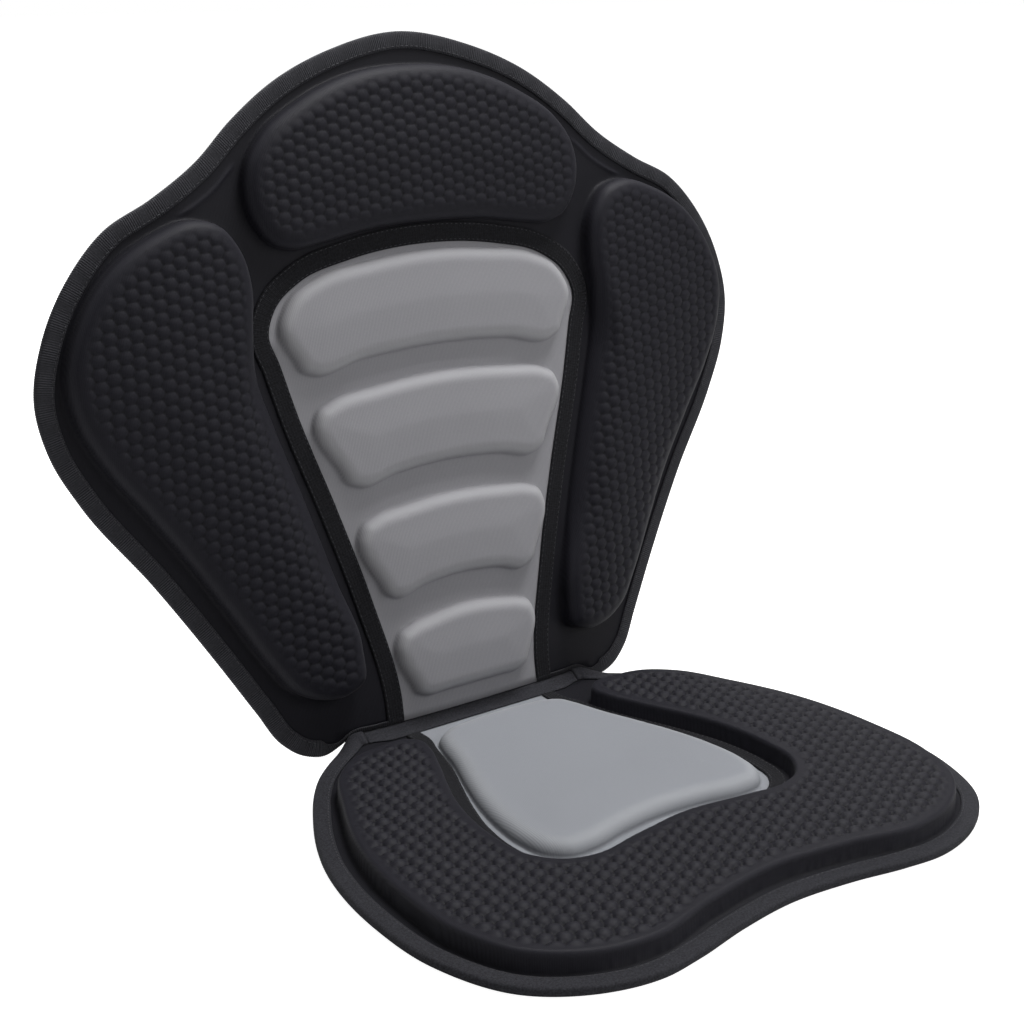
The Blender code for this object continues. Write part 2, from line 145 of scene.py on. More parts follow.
def curve_through(points: np.ndarray, closed: bool = False, step: float = LINE_STEP) -> np.ndarray:
    """Run a smooth curve through points.

    Args:
        points: the points that shape the curve.
        closed: whether the curve returns to its start.
        step: about how far apart the curve's own points lie.

    Returns:
        The curve's points.
    """
    if closed:
        ring = np.vstack([points[-1:], points, points[:2]])
    else:
        ring = np.vstack([2 * points[0] - points[1], points, 2 * points[-1] - points[-2]])
    gaps = np.linalg.norm(np.diff(ring, axis=0), axis=1)[:, None]
    slopes = np.diff(ring, axis=0) / gaps
    tangents = (slopes[1:] * gaps[:-1] + slopes[:-1] * gaps[1:]) / (gaps[1:] + gaps[:-1])
    pieces = []
    for index in range(1, len(ring) - 2):
        start, end, gap = ring[index], ring[index + 1], gaps[index]
        count = max(1, round(float(gap[0]) / step))
        t = (np.arange(count) / count)[:, None]
        pieces.append(
            start * (2 * t ** 3 - 3 * t ** 2 + 1) + end * (3 * t ** 2 - 2 * t ** 3)
            + tangents[index - 1] * gap * (t ** 3 - 2 * t ** 2 + t)
            + tangents[index] * gap * (t ** 3 - t ** 2)
        )
    if not closed:
        pieces.append(points[-1:])
    return np.vstack(pieces)


def evenly_spaced(line: np.ndarray, step: float) -> np.ndarray:
    """Place points at even distances along an open line.

    Args:
        line: the line's points.
        step: the distance between the new points, made to fit the length.

    Returns:
        The new points, with both ends kept.
    """
    run = np.concatenate([[0.0], np.cumsum(np.linalg.norm(np.diff(line, axis=0), axis=1))])
    places = np.linspace(0.0, run[-1], max(2, round(run[-1] / step) + 1))
    return np.column_stack([np.interp(places, run, line[:, axis]) for axis in (0, 1)])


def leftwards(line: np.ndarray) -> np.ndarray:
    """Turn a line so that the area it bounds lies on its left.

    Args:
        line: the line's points.

    Returns:
        The same points, in the order that goes round the area that way.
    """
    following = np.roll(line, -1, axis=0)
    area = np.sum(line[:, 0] * following[:, 1] - following[:, 0] * line[:, 1])
    return line if area > 0 else line[::-1]


def sideways(line: np.ndarray, closed: bool = False) -> np.ndarray:
    """Find the direction to the left of a line at each of its points.

    Args:
        line: the line's points.
        closed: whether the line returns to its start.

    Returns:
        A unit vector for each point.
    """
    if closed:
        along = np.roll(line, -1, axis=0) - np.roll(line, 1, axis=0)
    else:
        along = np.gradient(line, axis=0)
    along = along / np.linalg.norm(along, axis=1)[:, None]
    return np.column_stack([-along[:, 1], along[:, 0]])


def inset(line: np.ndarray, distance: float, closed: bool = False) -> np.ndarray:
    """Move a line to its left by a distance, or to its right if the distance is negative."""
    return line + sideways(line, closed) * distance


def footed(line: np.ndarray, height: float) -> np.ndarray:
    """Carry both ends of an open line straight down the plan to a height."""
    return np.vstack([line, (line[-1][0], height), (line[0][0], height)])


def signed_depth(points: np.ndarray, loop: np.ndarray, reach: float = 0.02) -> np.ndarray:
    """Measure how deep points lie inside a closed loop.

    Args:
        points: points on the plan.
        loop: the loop's points.
        reach: how far outside the loop distances are measured.

    Returns:
        The distance to the loop, positive inside and negative outside. Points further out than
        the reach get minus the reach.
    """
    depth = np.full(len(points), -reach)
    low, high = loop.min(axis=0) - reach, loop.max(axis=0) + reach
    near = np.flatnonzero(((points > low) & (points < high)).all(axis=1))
    start, end = loop, np.roll(loop, -1, axis=0)
    along = end - start
    squared = (along ** 2).sum(axis=1)
    level = np.where(along[:, 1] == 0.0, 1.0, along[:, 1])
    for first in range(0, len(near), POINTS_AT_ONCE):
        chosen = near[first:first + POINTS_AT_ONCE]
        offset = points[chosen][:, None, :] - start[None, :, :]
        share = np.clip((offset * along).sum(axis=2) / squared, 0.0, 1.0)
        gap = np.linalg.norm(offset - share[:, :, None] * along, axis=2).min(axis=1)
        x, y = points[chosen, :1], points[chosen, 1:]
        crosses = (start[:, 1] > y) != (end[:, 1] > y)
        crossing = start[:, 0] + (y - start[:, 1]) * along[:, 0] / level
        inside = (crosses & (x < crossing)).sum(axis=1) % 2 == 1
        depth[chosen] = np.where(inside, gap, -np.minimum(gap, reach))
    return depth


def lattice(low: np.ndarray, high: np.ndarray, spacing: tuple[float, float]) -> np.ndarray:
    """Lay staggered rows of points, even about the middle, over a box on the plan.

    Args:
        low: the box's lowest corner.
        high: the box's highest corner.
        spacing: the distance between points of a row and between rows.

    Returns:
        The points.
    """
    rows = np.arange(math.floor(low[1] / spacing[1]), math.ceil(high[1] / spacing[1]) + 1)
    columns = np.arange(math.floor(low[0] / spacing[0]) - 1, math.ceil(high[0] / spacing[0]) + 1)
    x, y = np.meshgrid(columns.astype(float), rows.astype(float))
    x = x + 0.5 * (y % 2)
    return np.column_stack([x.ravel() * spacing[0], y.ravel() * spacing[1]])


def eased(value: np.ndarray, start: float, end: float) -> np.ndarray:
    """Ease from 0 at the start to 1 at the end."""
    share = np.clip((value - start) / (end - start), 0.0, 1.0)
    return share * share * (3.0 - 2.0 * share)


def filled(
    boundary: np.ndarray, rings: list[np.ndarray], loose: np.ndarray,
) -> tuple[np.ndarray, np.ndarray]:
    """Fill a boundary with triangles.

    Args:
        boundary: a closed loop with its area on the left.
        rings: closed loops inside the boundary whose edges are kept.
        loose: further points inside the boundary.

    Returns:
        The points, with the boundary's first and in order, and the triangles' corners.
    """
    loops = [boundary, *rings]
    corners = np.vstack([*loops, loose])
    edges: list[tuple[int, int]] = []
    first = 0
    for loop in loops:
        places = np.arange(len(loop))
        edges += list(zip((first + places).tolist(), (first + (places + 1) % len(loop)).tolist()))
        first += len(loop)
    verts, _, faces, origins, _, _ = delaunay_2d_cdt(corners.tolist(), edges, [], 1, 1e-7)
    order = {source: place for place, sources in enumerate(origins) for source in sources}
    ranks = [order[index] for index in range(len(boundary))]
    known = set(ranks)
    ranks += [index for index in range(len(verts)) if index not in known]
    renamed = np.empty(len(verts), int)
    renamed[ranks] = np.arange(len(ranks))
    flat = np.array([tuple(verts[place]) for place in ranks])
    return flat, renamed[np.array([tuple(face) for face in faces])]


# The two plans

@dataclass(frozen=True)
class SeatPlan:
    """The seat's plan: across the seat, forward from its rear edge, up from its underside."""

    width: float = 0.380
    depth: float = 0.310

    def sized(self, shares: tuple) -> np.ndarray:
        """Turn shares of the half width and the depth into places on the plan."""
        return np.array(shares) * (self.width / 2, self.depth)

    def place(self, flat: np.ndarray, height: np.ndarray | float) -> np.ndarray:
        """Place points of the plan at heights in the row's frame."""
        height = np.broadcast_to(height, len(flat))
        return np.column_stack([flat[:, 0], self.depth / 2 - flat[:, 1], height])


@dataclass(frozen=True)
class BackPlan:
    """The backrest's plan: across the panel, up from the hinge axis, forward from its rear."""

    width: float = 0.510
    height: float = 0.426
    lean: float = math.radians(10.0)
    level_height: float = 0.332
    sweep_depth: float = 0.0322
    rear_setback: float = 0.0019
    axis: tuple[float, float] = (0.310 / 2 - HINGE_SETBACK, HINGE_HEIGHT)

    def sized(self, shares: tuple) -> np.ndarray:
        """Turn shares of the half width and the height into places on the plan."""
        return np.array(shares) * (self.width / 2, self.height)

    def place(self, flat: np.ndarray, height: np.ndarray | float) -> np.ndarray:
        """Place points of the plan at heights in the row's frame, on the swept, leaning panel.

        Args:
            flat: the points on the plan.
            height: their height, or one for all.

        Returns:
            The points in the row's frame.
        """
        outwards = (flat[:, 0] / (self.width / 2)) ** 2
        sweep = self.sweep_depth * outwards * (1.0 - flat[:, 1] / self.level_height)
        back = self.rear_setback + sweep - height
        cosine, sine = math.cos(self.lean), math.sin(self.lean)
        y = self.axis[0] + back * cosine + flat[:, 1] * sine
        z = self.axis[1] - back * sine + flat[:, 1] * cosine
        return np.column_stack([flat[:, 0], y, z])


# Finishes

class Weave(Enum):
    """How a cloth is made: of knitted loops or of woven threads."""

    KNIT = "knit"
    WOVEN = "woven"


class Tree:
    """Adds and links the nodes of one shader tree or group."""

    def __init__(self, tree: bpy.types.NodeTree) -> None:
        """Keep the tree that the nodes go into."""
        self.tree = tree

    def node(self, kind: str, **settings: object) -> bpy.types.Node:
        """Add a node.

        Args:
            kind: the node's type name.
            settings: the properties to set on it.

        Returns:
            The node.
        """
        made = self.tree.nodes.new(kind)
        for name, value in settings.items():
            setattr(made, name, value)
        return made

    def link(self, source: object, target: bpy.types.NodeSocket) -> None:
        """Link an output to an input, or set the input to a plain value.

        Args:
            source: the output or the value.
            target: the input.
        """
        if isinstance(source, bpy.types.NodeSocket):
            self.tree.links.new(source, target)
        else:
            target.default_value = source

    def math(self, operation: str, *values: object) -> bpy.types.NodeSocket:
        """Add a Math node.

        Args:
            operation: what it does.
            values: the outputs or numbers that it works on.

        Returns:
            Its output.
        """
        made = self.node("ShaderNodeMath", operation=operation)
        for value, target in zip(values, made.inputs):
            self.link(value, target)
        return made.outputs[0]

    def mix(self, factor: object, first: object, second: object) -> bpy.types.NodeSocket:
        """Mix two colours.

        Args:
            factor: the share of the second colour.
            first: the first colour.
            second: the second colour.

        Returns:
            The mixed colour's output.
        """
        made = self.node("ShaderNodeMix", data_type="RGBA")
        for value, index in ((factor, 0), (first, 6), (second, 7)):
            self.link(value, made.inputs[index])
        return made.outputs[2]


# How much of the height of a knit column its loops take up, and of a weft rib its threads
LOOP_SHARE = 0.25
THREAD_SHARE = 0.4

# How much smoother the tops of threads are than the grooves between them
SMOOTHER_TOPS = 0.08

# Levels of detail in the noise of a cloth's tone
NOISE_DETAIL = 3.0


def new_group(
    name: str, inputs: dict[str, object], outputs: dict[str, str],
) -> tuple[bpy.types.NodeTree, Tree, bpy.types.Node, bpy.types.Node]:
    """Make an empty shader group with named sockets.

    Args:
        name: the group's name.
        inputs: each input's name, with its plain number, or None for a vector and a tuple for a
            colour.
        outputs: each output's name and socket type.

    Returns:
        The group, a Tree for it, and its input and output nodes.
    """
    group = bpy.data.node_groups.new(name, "ShaderNodeTree")
    for label, value in inputs.items():
        kind = "NodeSocketFloat"
        if value is None:
            kind = "NodeSocketVector"
        elif isinstance(value, tuple):
            kind = "NodeSocketColor"
        socket = group.interface.new_socket(label, in_out="INPUT", socket_type=kind)
        if value is not None:
            socket.default_value = value
    for label, kind in outputs.items():
        group.interface.new_socket(label, in_out="OUTPUT", socket_type=kind)
    tree = Tree(group)
    return group, tree, tree.node("NodeGroupInput"), tree.node("NodeGroupOutput")


def thread_phase(
    tree: Tree, source: bpy.types.Node,
) -> tuple[bpy.types.NodeSocket, bpy.types.NodeSocket]:
    """Divide a millimetre place by the two thread pitches of a group.

    Args:
        tree: the group's tree.
        source: the group's input node, with Place, Across Pitch and Along Pitch.

    Returns:
        The phase across and the phase along, in threads.
    """
    parts = tree.node("ShaderNodeSeparateXYZ")
    tree.link(source.outputs["Place"], parts.inputs[0])
    across = tree.math("DIVIDE", parts.outputs[0], source.outputs["Across Pitch"])
    along = tree.math("DIVIDE", parts.outputs[1], source.outputs["Along Pitch"])
    return across, along


def knit_group() -> bpy.types.NodeTree:
    """Build the knit face: columns of small V-shaped loops, as a height.

    Returns:
        The group.
    """
    group, tree, source, target = new_group(
        "knit_face",
        {"Place": None, "Across Pitch": 1.0, "Along Pitch": 0.8},
        {"Height": "NodeSocketFloat"},
    )
    across, along = thread_phase(tree, source)
    column = tree.math("ABSOLUTE", tree.math("SINE", tree.math("MULTIPLY", across, math.pi)))
    slant = tree.math("PINGPONG", across, 0.5)
    loop = tree.math("MULTIPLY", tree.math("ADD", along, slant), math.tau)
    wave = tree.math("MULTIPLY_ADD", tree.math("SINE", loop), LOOP_SHARE, 1.0 - LOOP_SHARE)
    tree.link(tree.math("MULTIPLY", column, wave), target.inputs["Height"])
    return group


def tape_group() -> bpy.types.NodeTree:
    """Build the woven tape: fine warp threads crossed by weft ribs that can run on a slant.

    Returns:
        The group.
    """
    group, tree, source, target = new_group(
        "tape_weave",
        {"Place": None, "Across Pitch": 0.5, "Along Pitch": 0.5, "Slant": 0.0},
        {"Height": "NodeSocketFloat"},
    )
    across, along = thread_phase(tree, source)
    slanted = tree.math("MULTIPLY_ADD", along, source.outputs["Slant"], across)
    rib = tree.math("ABSOLUTE", tree.math("SINE", tree.math("MULTIPLY", slanted, math.pi)))
    thread = tree.math("ABSOLUTE", tree.math("SINE", tree.math("MULTIPLY", along, math.pi)))
    crossed = tree.math("MULTIPLY_ADD", thread, THREAD_SHARE, 1.0 - THREAD_SHARE)
    tree.link(tree.math("MULTIPLY", rib, crossed), target.inputs["Height"])
    return group


def mottle_group() -> bpy.types.NodeTree:
    """Build the cloth's uneven tone: broad soft patches and fine yarn flecks.

    Returns:
        The group.
    """
    group, tree, source, target = new_group(
        "cloth_mottle",
        {"Patch Size": 14.0, "Fleck Size": 900.0, "Patch": 0.1, "Fleck": 0.1},
        {"Tone": "NodeSocketFloat"},
    )
    place = tree.node("ShaderNodeTexCoord")
    tones = []
    for size, amount in (("Patch Size", "Patch"), ("Fleck Size", "Fleck")):
        noise = tree.node("ShaderNodeTexNoise")
        noise.inputs["Detail"].default_value = NOISE_DETAIL
        tree.link(place.outputs["Object"], noise.inputs["Vector"])
        tree.link(source.outputs[size], noise.inputs["Scale"])
        centred = tree.math("SUBTRACT", noise.outputs["Fac"], 0.5)
        tones.append(tree.math("MULTIPLY", centred, source.outputs[amount]))
    total = tree.math("ADD", tones[0], tones[1])
    tree.link(tree.math("MULTIPLY_ADD", total, 2.0, 1.0), target.inputs["Tone"])
    return group


def stretch_and_shading_group() -> bpy.types.NodeTree:
    """Build the tone of shaped cloth: paler where the cloth stretches and where highlights are
    painted, darker under painted shade.

    Returns:
        The group.
    """
    group, tree, source, target = new_group(
        "stretch_and_painted_shading",
        {"Colour": (0.5, 0.5, 0.5, 1.0), "Stretch And Highlight Colour": (0.5, 0.5, 0.5, 1.0), "Amount": 0.5,
         "Painted Shade": 0.5},
        {"Colour": "NodeSocketColor"},
    )
    shape = tree.node("ShaderNodeAttribute", attribute_name=STRETCH_AND_SHADING_NAME)
    # Above 0: real stretching of the cloth and painted highlights, mixed towards the paler colour.
    stretch_and_highlight_part = tree.math("MAXIMUM", shape.outputs["Fac"], 0.0)
    share = tree.math("MULTIPLY", stretch_and_highlight_part, source.outputs["Amount"])
    mixed = tree.mix(share, source.outputs["Colour"], source.outputs["Stretch And Highlight Colour"])
    # Below 0: painted shade, which dims the colour.
    painted_shade_part = tree.math("MINIMUM", shape.outputs["Fac"], 0.0)
    dimmed = tree.node("ShaderNodeVectorMath", operation="SCALE")
    tree.link(mixed, dimmed.inputs[0])
    tree.link(tree.math("MULTIPLY_ADD", painted_shade_part, source.outputs["Painted Shade"], 1.0),
              dimmed.inputs["Scale"])
    tree.link(dimmed.outputs[0], target.inputs["Colour"])
    return group


@dataclass(frozen=True)
class ClothFinish:
    """One cloth: its colours, its threads and how it takes the light.

    The highlight colour is the paler tone where a piece's painted light is above 0: where moulded
    cloth stretches and where highlights are painted on it, and between the ribs on the hidden face
    of the ribbed binding. The other tapes are nowhere so. The painted shade strength tells how much
    painted shade darkens the colour where the value is below 0.
    """

    name: str
    colour: tuple[float, float, float]
    groove_colour: tuple[float, float, float]
    weave: Weave
    across_pitch_mm: float
    along_pitch_mm: float
    relief: float
    stretch_and_highlight_colour: tuple[float, float, float] = (0.5, 0.5, 0.5)
    roughness: float = 0.85
    gloss: float = 0.18
    sheen: float = 0.03
    sheen_roughness: float = 0.5
    slant: float = 0.0
    patch: float = 0.08
    fleck: float = 0.10
    stretch_and_shading: float = 0.5
    painted_shade_strength: float = 0.6

    def material(self, groups: dict[str, bpy.types.NodeTree]) -> bpy.types.Material:
        """Make the cloth's material.

        Args:
            groups: the shared node groups by name.

        Returns:
            The material.
        """
        material = bpy.data.materials.new(self.name)
        material.use_nodes = True
        tree = Tree(material.node_tree)
        shader = material.node_tree.nodes["Principled BSDF"]
        shader.inputs["Sheen Weight"].default_value = self.sheen
        shader.inputs["Sheen Roughness"].default_value = self.sheen_roughness
        shader.inputs["Specular IOR Level"].default_value = self.gloss

        uv = tree.node("ShaderNodeUVMap", uv_map=UV_NAME)
        place = tree.node("ShaderNodeVectorMath", operation="SCALE")
        place.inputs["Scale"].default_value = MILLIMETRES
        tree.link(uv.outputs[0], place.inputs[0])

        threads = tree.node("ShaderNodeGroup")
        threads.node_tree = groups[self.weave.value]
        tree.link(place.outputs[0], threads.inputs["Place"])
        threads.inputs["Across Pitch"].default_value = self.across_pitch_mm
        threads.inputs["Along Pitch"].default_value = self.along_pitch_mm
        if self.weave is Weave.WOVEN:
            threads.inputs["Slant"].default_value = self.slant

        mottle = tree.node("ShaderNodeGroup")
        mottle.node_tree = groups["mottle"]
        mottle.inputs["Patch"].default_value = self.patch
        mottle.inputs["Fleck"].default_value = self.fleck

        woven = tree.mix(threads.outputs["Height"], (*self.groove_colour, 1.0), (*self.colour, 1.0))
        # Paler for stretching and painted highlights, darker for painted shade.
        shading_node = tree.node("ShaderNodeGroup")
        shading_node.node_tree = groups["stretch_and_shading"]
        shading_node.inputs["Stretch And Highlight Colour"].default_value = (*self.stretch_and_highlight_colour, 1.0)
        shading_node.inputs["Amount"].default_value = self.stretch_and_shading
        shading_node.inputs["Painted Shade"].default_value = self.painted_shade_strength
        tree.link(woven, shading_node.inputs["Colour"])
        toned = tree.node("ShaderNodeVectorMath", operation="SCALE")
        tree.link(shading_node.outputs["Colour"], toned.inputs[0])
        tree.link(mottle.outputs["Tone"], toned.inputs["Scale"])
        tree.link(toned.outputs[0], shader.inputs["Base Color"])

        rough = tree.math("MULTIPLY_ADD", threads.outputs["Height"], -SMOOTHER_TOPS,
                          self.roughness)
        tree.link(rough, shader.inputs["Roughness"])
        bump = tree.node("ShaderNodeBump")
        bump.inputs["Distance"].default_value = self.relief
        tree.link(threads.outputs["Height"], bump.inputs["Height"])
        tree.link(bump.outputs["Normal"], shader.inputs["Normal"])
        return material


class Finishes:
    """The seat's cloths, made once and shared by its pieces."""

    def __init__(self) -> None:
        """Build the shared groups and each cloth's material."""
        groups = {
            "knit": knit_group(), "woven": tape_group(),
            "mottle": mottle_group(), "stretch_and_shading": stretch_and_shading_group(),
        }
        self.black = ClothFinish(
            "black_moulded_cloth", (0.0134, 0.0129, 0.0190), (0.0090, 0.0086, 0.0130),
            Weave.KNIT, across_pitch_mm=0.9, along_pitch_mm=0.7, relief=0.00006,
            stretch_and_highlight_colour=(0.030, 0.0295, 0.037), roughness=0.62, painted_shade_strength=0.80,
        ).material(groups)
        self.back_grey = ClothFinish(
            "mid_grey_cloth", (0.335, 0.332, 0.352), (0.275, 0.272, 0.290),
            Weave.KNIT, across_pitch_mm=1.0, along_pitch_mm=0.8, relief=0.00006,
            stretch_and_highlight_colour=(0.43, 0.43, 0.445), roughness=0.8, sheen=0.05, patch=0.05, fleck=0.05,
        ).material(groups)
        self.seat_grey = ClothFinish(
            "light_grey_cloth", (0.290, 0.300, 0.325), (0.245, 0.255, 0.278),
            Weave.KNIT, across_pitch_mm=1.0, along_pitch_mm=0.8, relief=0.00006,
            stretch_and_highlight_colour=(0.40, 0.41, 0.43), roughness=0.8, sheen=0.05, patch=0.05, fleck=0.05,
        ).material(groups)
        self.ribbed = ClothFinish(
            "ribbed_binding_tape", (0.062, 0.062, 0.072), (0.022, 0.022, 0.026),
            Weave.WOVEN, across_pitch_mm=1.3, along_pitch_mm=0.45, relief=0.00012,
            stretch_and_highlight_colour=(0.042, 0.042, 0.046), roughness=0.8, painted_shade_strength=0.55, fleck=0.5,
        ).material(groups)
        self.twill = ClothFinish(
            "twill_binding_tape", (0.037, 0.037, 0.044), (0.018, 0.018, 0.022),
            Weave.WOVEN, across_pitch_mm=0.7, along_pitch_mm=0.7, relief=0.00014,
            roughness=0.8, slant=1.0, fleck=1.1,
        ).material(groups)
        self.seam = ClothFinish(
            "seam_tape", (0.018, 0.018, 0.022), (0.005, 0.005, 0.006),
            Weave.WOVEN, across_pitch_mm=0.8, along_pitch_mm=0.8, relief=0.00015,
            painted_shade_strength=0.3, fleck=1.2,
        ).material(groups)
        self.plain = ClothFinish(
            "plain_rear_cloth", (0.020, 0.020, 0.023), (0.009, 0.009, 0.010),
            Weave.WOVEN, across_pitch_mm=0.6, along_pitch_mm=0.6, relief=0.00008,
            roughness=0.75,
        ).material(groups)
        self.thread = ClothFinish(
            "sewing_thread", (0.075, 0.075, 0.083), (0.030, 0.030, 0.034),
            Weave.WOVEN, across_pitch_mm=0.25, along_pitch_mm=0.5, relief=0.00004,
            roughness=0.6, slant=0.5,
        ).material(groups)


# Meshes

def make_piece(
    name: str, verts: np.ndarray, faces: list | np.ndarray, cloth: np.ndarray,
    material: bpy.types.Material, stretch_and_shading: np.ndarray | None = None,
) -> bpy.types.Object:
    """Make a smooth object whose closed faces point outwards.

    Args:
        name: the piece's name.
        verts: its points in the row's frame.
        faces: its faces' corners, all of one length or of mixed lengths.
        cloth: each point's place on the cloth, in metres.
        material: its finish.
        stretch_and_shading: the cloth's painted light at each point, from -1 in painted shade, as
            in
        creases, to 1 where the cloth stretches and highlights are painted, or 0 everywhere where it
        isn't given.

    Returns:
        The object.
    """
    rows = faces.tolist() if isinstance(faces, np.ndarray) else faces
    volume = 0.0
    for size in (3, 4):
        chosen = np.array([face for face in rows if len(face) == size], int).reshape(-1, size)
        for second in range(1, size - 1):
            a, b, c = (verts[chosen[:, i]] for i in (0, second, second + 1))
            volume += float(np.einsum("ij,ij->", a, np.cross(b, c)))
    if volume < 0:
        rows = [face[::-1] for face in rows]
    mesh = bpy.data.meshes.new(name)
    mesh.from_pydata(verts.tolist(), [], rows)
    corners = np.empty(len(mesh.loops), int)
    mesh.loops.foreach_get("vertex_index", corners)
    layer = mesh.uv_layers.new(name=UV_NAME)
    layer.data.foreach_set("uv", cloth[corners].astype(np.float32).ravel())
    shares = mesh.attributes.new(STRETCH_AND_SHADING_NAME, "FLOAT", "POINT")
    values = np.zeros(len(verts)) if stretch_and_shading is None else stretch_and_shading
    shares.data.foreach_set("value", values.astype(np.float32))
    mesh.shade_smooth()
    mesh.materials.append(material)
    made = bpy.data.objects.new(name, mesh)
    bpy.context.collection.objects.link(made)
    return made


def swept_faces(sections: int, corners: int, first: int = 0) -> list[list[int]]:
    """Join closed sections, whose points run around each in turn, into a closed tube.

    Args:
        sections: how many sections the tube has.
        corners: how many points each section has.
        first: the index of the tube's first point.

    Returns:
        The corners of the faces along the tube and of its two ends.
    """
    index = first + np.arange(sections * corners).reshape(sections, corners)
    beside = np.roll(index, -1, axis=1)
    quads = np.stack([index[:-1], beside[:-1], beside[1:], index[1:]], axis=-1)
    return [*quads.reshape(-1, 4).tolist(), index[0, ::-1].tolist(), index[-1].tolist()]


@dataclass(frozen=True)
class ScalePattern:
    """Staggered rows of close moulded domes, with creases between them and pits at the corners.

    The half pitches lead from a dome to the next column and row, and the samples are the points
    drawn over them. The radius is that of a dome's foot across the panel. The level is what the
    mean lies below the top of a dome, and each span gives where creases, with their painted shade,
    or painted highlights on the dome tops begin, away from the mean, and how much further they are
    full, all as shares of the rise. The highlight share is the strength of the painted highlight.
    """

    half_pitch: tuple[float, float]
    radius: float
    rise: float
    samples: tuple[int, int]
    pit: float
    crest_highlight: float
    tightness: float = 1.1
    crispness: float = 12.0
    level: float = 0.6
    crease_span: tuple[float, float] = (0.10, 0.34)
    crest_highlight_span: tuple[float, float] = (0.05, 0.35)

    def spacing(self) -> tuple[float, float]:
        """Distance between the points that draw the domes."""
        return (self.half_pitch[0] / self.samples[0], self.half_pitch[1] / self.samples[1])

    def height(self, points: np.ndarray) -> np.ndarray:
        """Work out the height of the domes over their mean level.

        Args:
            points: points of the plan.

        Returns:
            The height at each point.
        """
        across, along = self.half_pitch
        column = np.round(points[:, 0] / across)
        total = np.zeros(len(points))
        for step in (-1, 0, 1):
            centre_x = (column + step) * across
            odd = np.abs(column + step) % 2
            row = np.round((points[:, 1] / along - odd) / 2)
            for shift in (-1, 0, 1):
                centre_y = (2 * (row + shift) + odd) * along
                dx = (points[:, 0] - centre_x) / self.radius
                dy = (points[:, 1] - centre_y) / self.radius * self.tightness
                total += np.exp(self.crispness * (1.0 - dx ** 2 - dy ** 2))
        return self.rise * (np.log(total) / self.crispness - self.level)

    def creases(self, heights: np.ndarray) -> np.ndarray:
        """Tell how deep in the creases each height lies, from 0 on a dome to 1 in a corner pit;
        this sets the pits' depth and the painted shade in them.
        """
        start, reach = self.crease_span
        return np.clip((-heights / self.rise - start) / reach, 0.0, 1.0)

    def crest_highlights(self, heights: np.ndarray) -> np.ndarray:
        """Tell how strong the painted highlight is at each height, from 0 on a dome's side to the
        full highlight share at its top.
        """
        start, reach = self.crest_highlight_span
        return self.crest_highlight * np.clip((heights / self.rise - start) / reach, 0.0, 1.0)


@dataclass(frozen=True)
class SoftSpot:
    """A place on the plan around which a pad's edge slopes more gently."""

    place: tuple[float, float]
    edge: float
    power: float
    reach: tuple[float, float] = (0.055, 0.105)

    def share(self, points: np.ndarray) -> np.ndarray:
        """Tell how soft the edge is at points of the plan."""
        return 1.0 - eased(np.linalg.norm(points - self.place, axis=1), *self.reach)


@dataclass(frozen=True)
class Ridge:
    """A fine raised fold along a line of a moulding's flange, with a painted highlight along its
    top.
    """

    line: np.ndarray
    height: float = 0.0009
    width: float = 0.0012
    painted_highlight: float = 0.8

    OFFSETS = (-2.4, -1.5, -0.75, 0.0, 0.75, 1.5, 2.4)
    FADING_PART = 5

    def points(self) -> np.ndarray:
        """Choose the points that draw the fold."""
        return np.vstack([inset(self.line, offset * self.width) for offset in self.OFFSETS])

    def share(self, points: np.ndarray) -> np.ndarray:
        """Tell how far the fold stands out, fading at both its ends.

        Args:
            points: points of the plan.

        Returns:
            The share of its full height at each point.
        """
        gaps = np.linalg.norm(points[:, None, :] - self.line[None, :, :], axis=2)
        nearest = gaps.argmin(axis=1)
        ends = np.minimum(nearest, len(self.line) - 1 - nearest)
        fade = eased(ends.astype(float), 0.0, len(self.line) / self.FADING_PART)
        return fade * np.exp(-(gaps.min(axis=1) / self.width) ** 2)


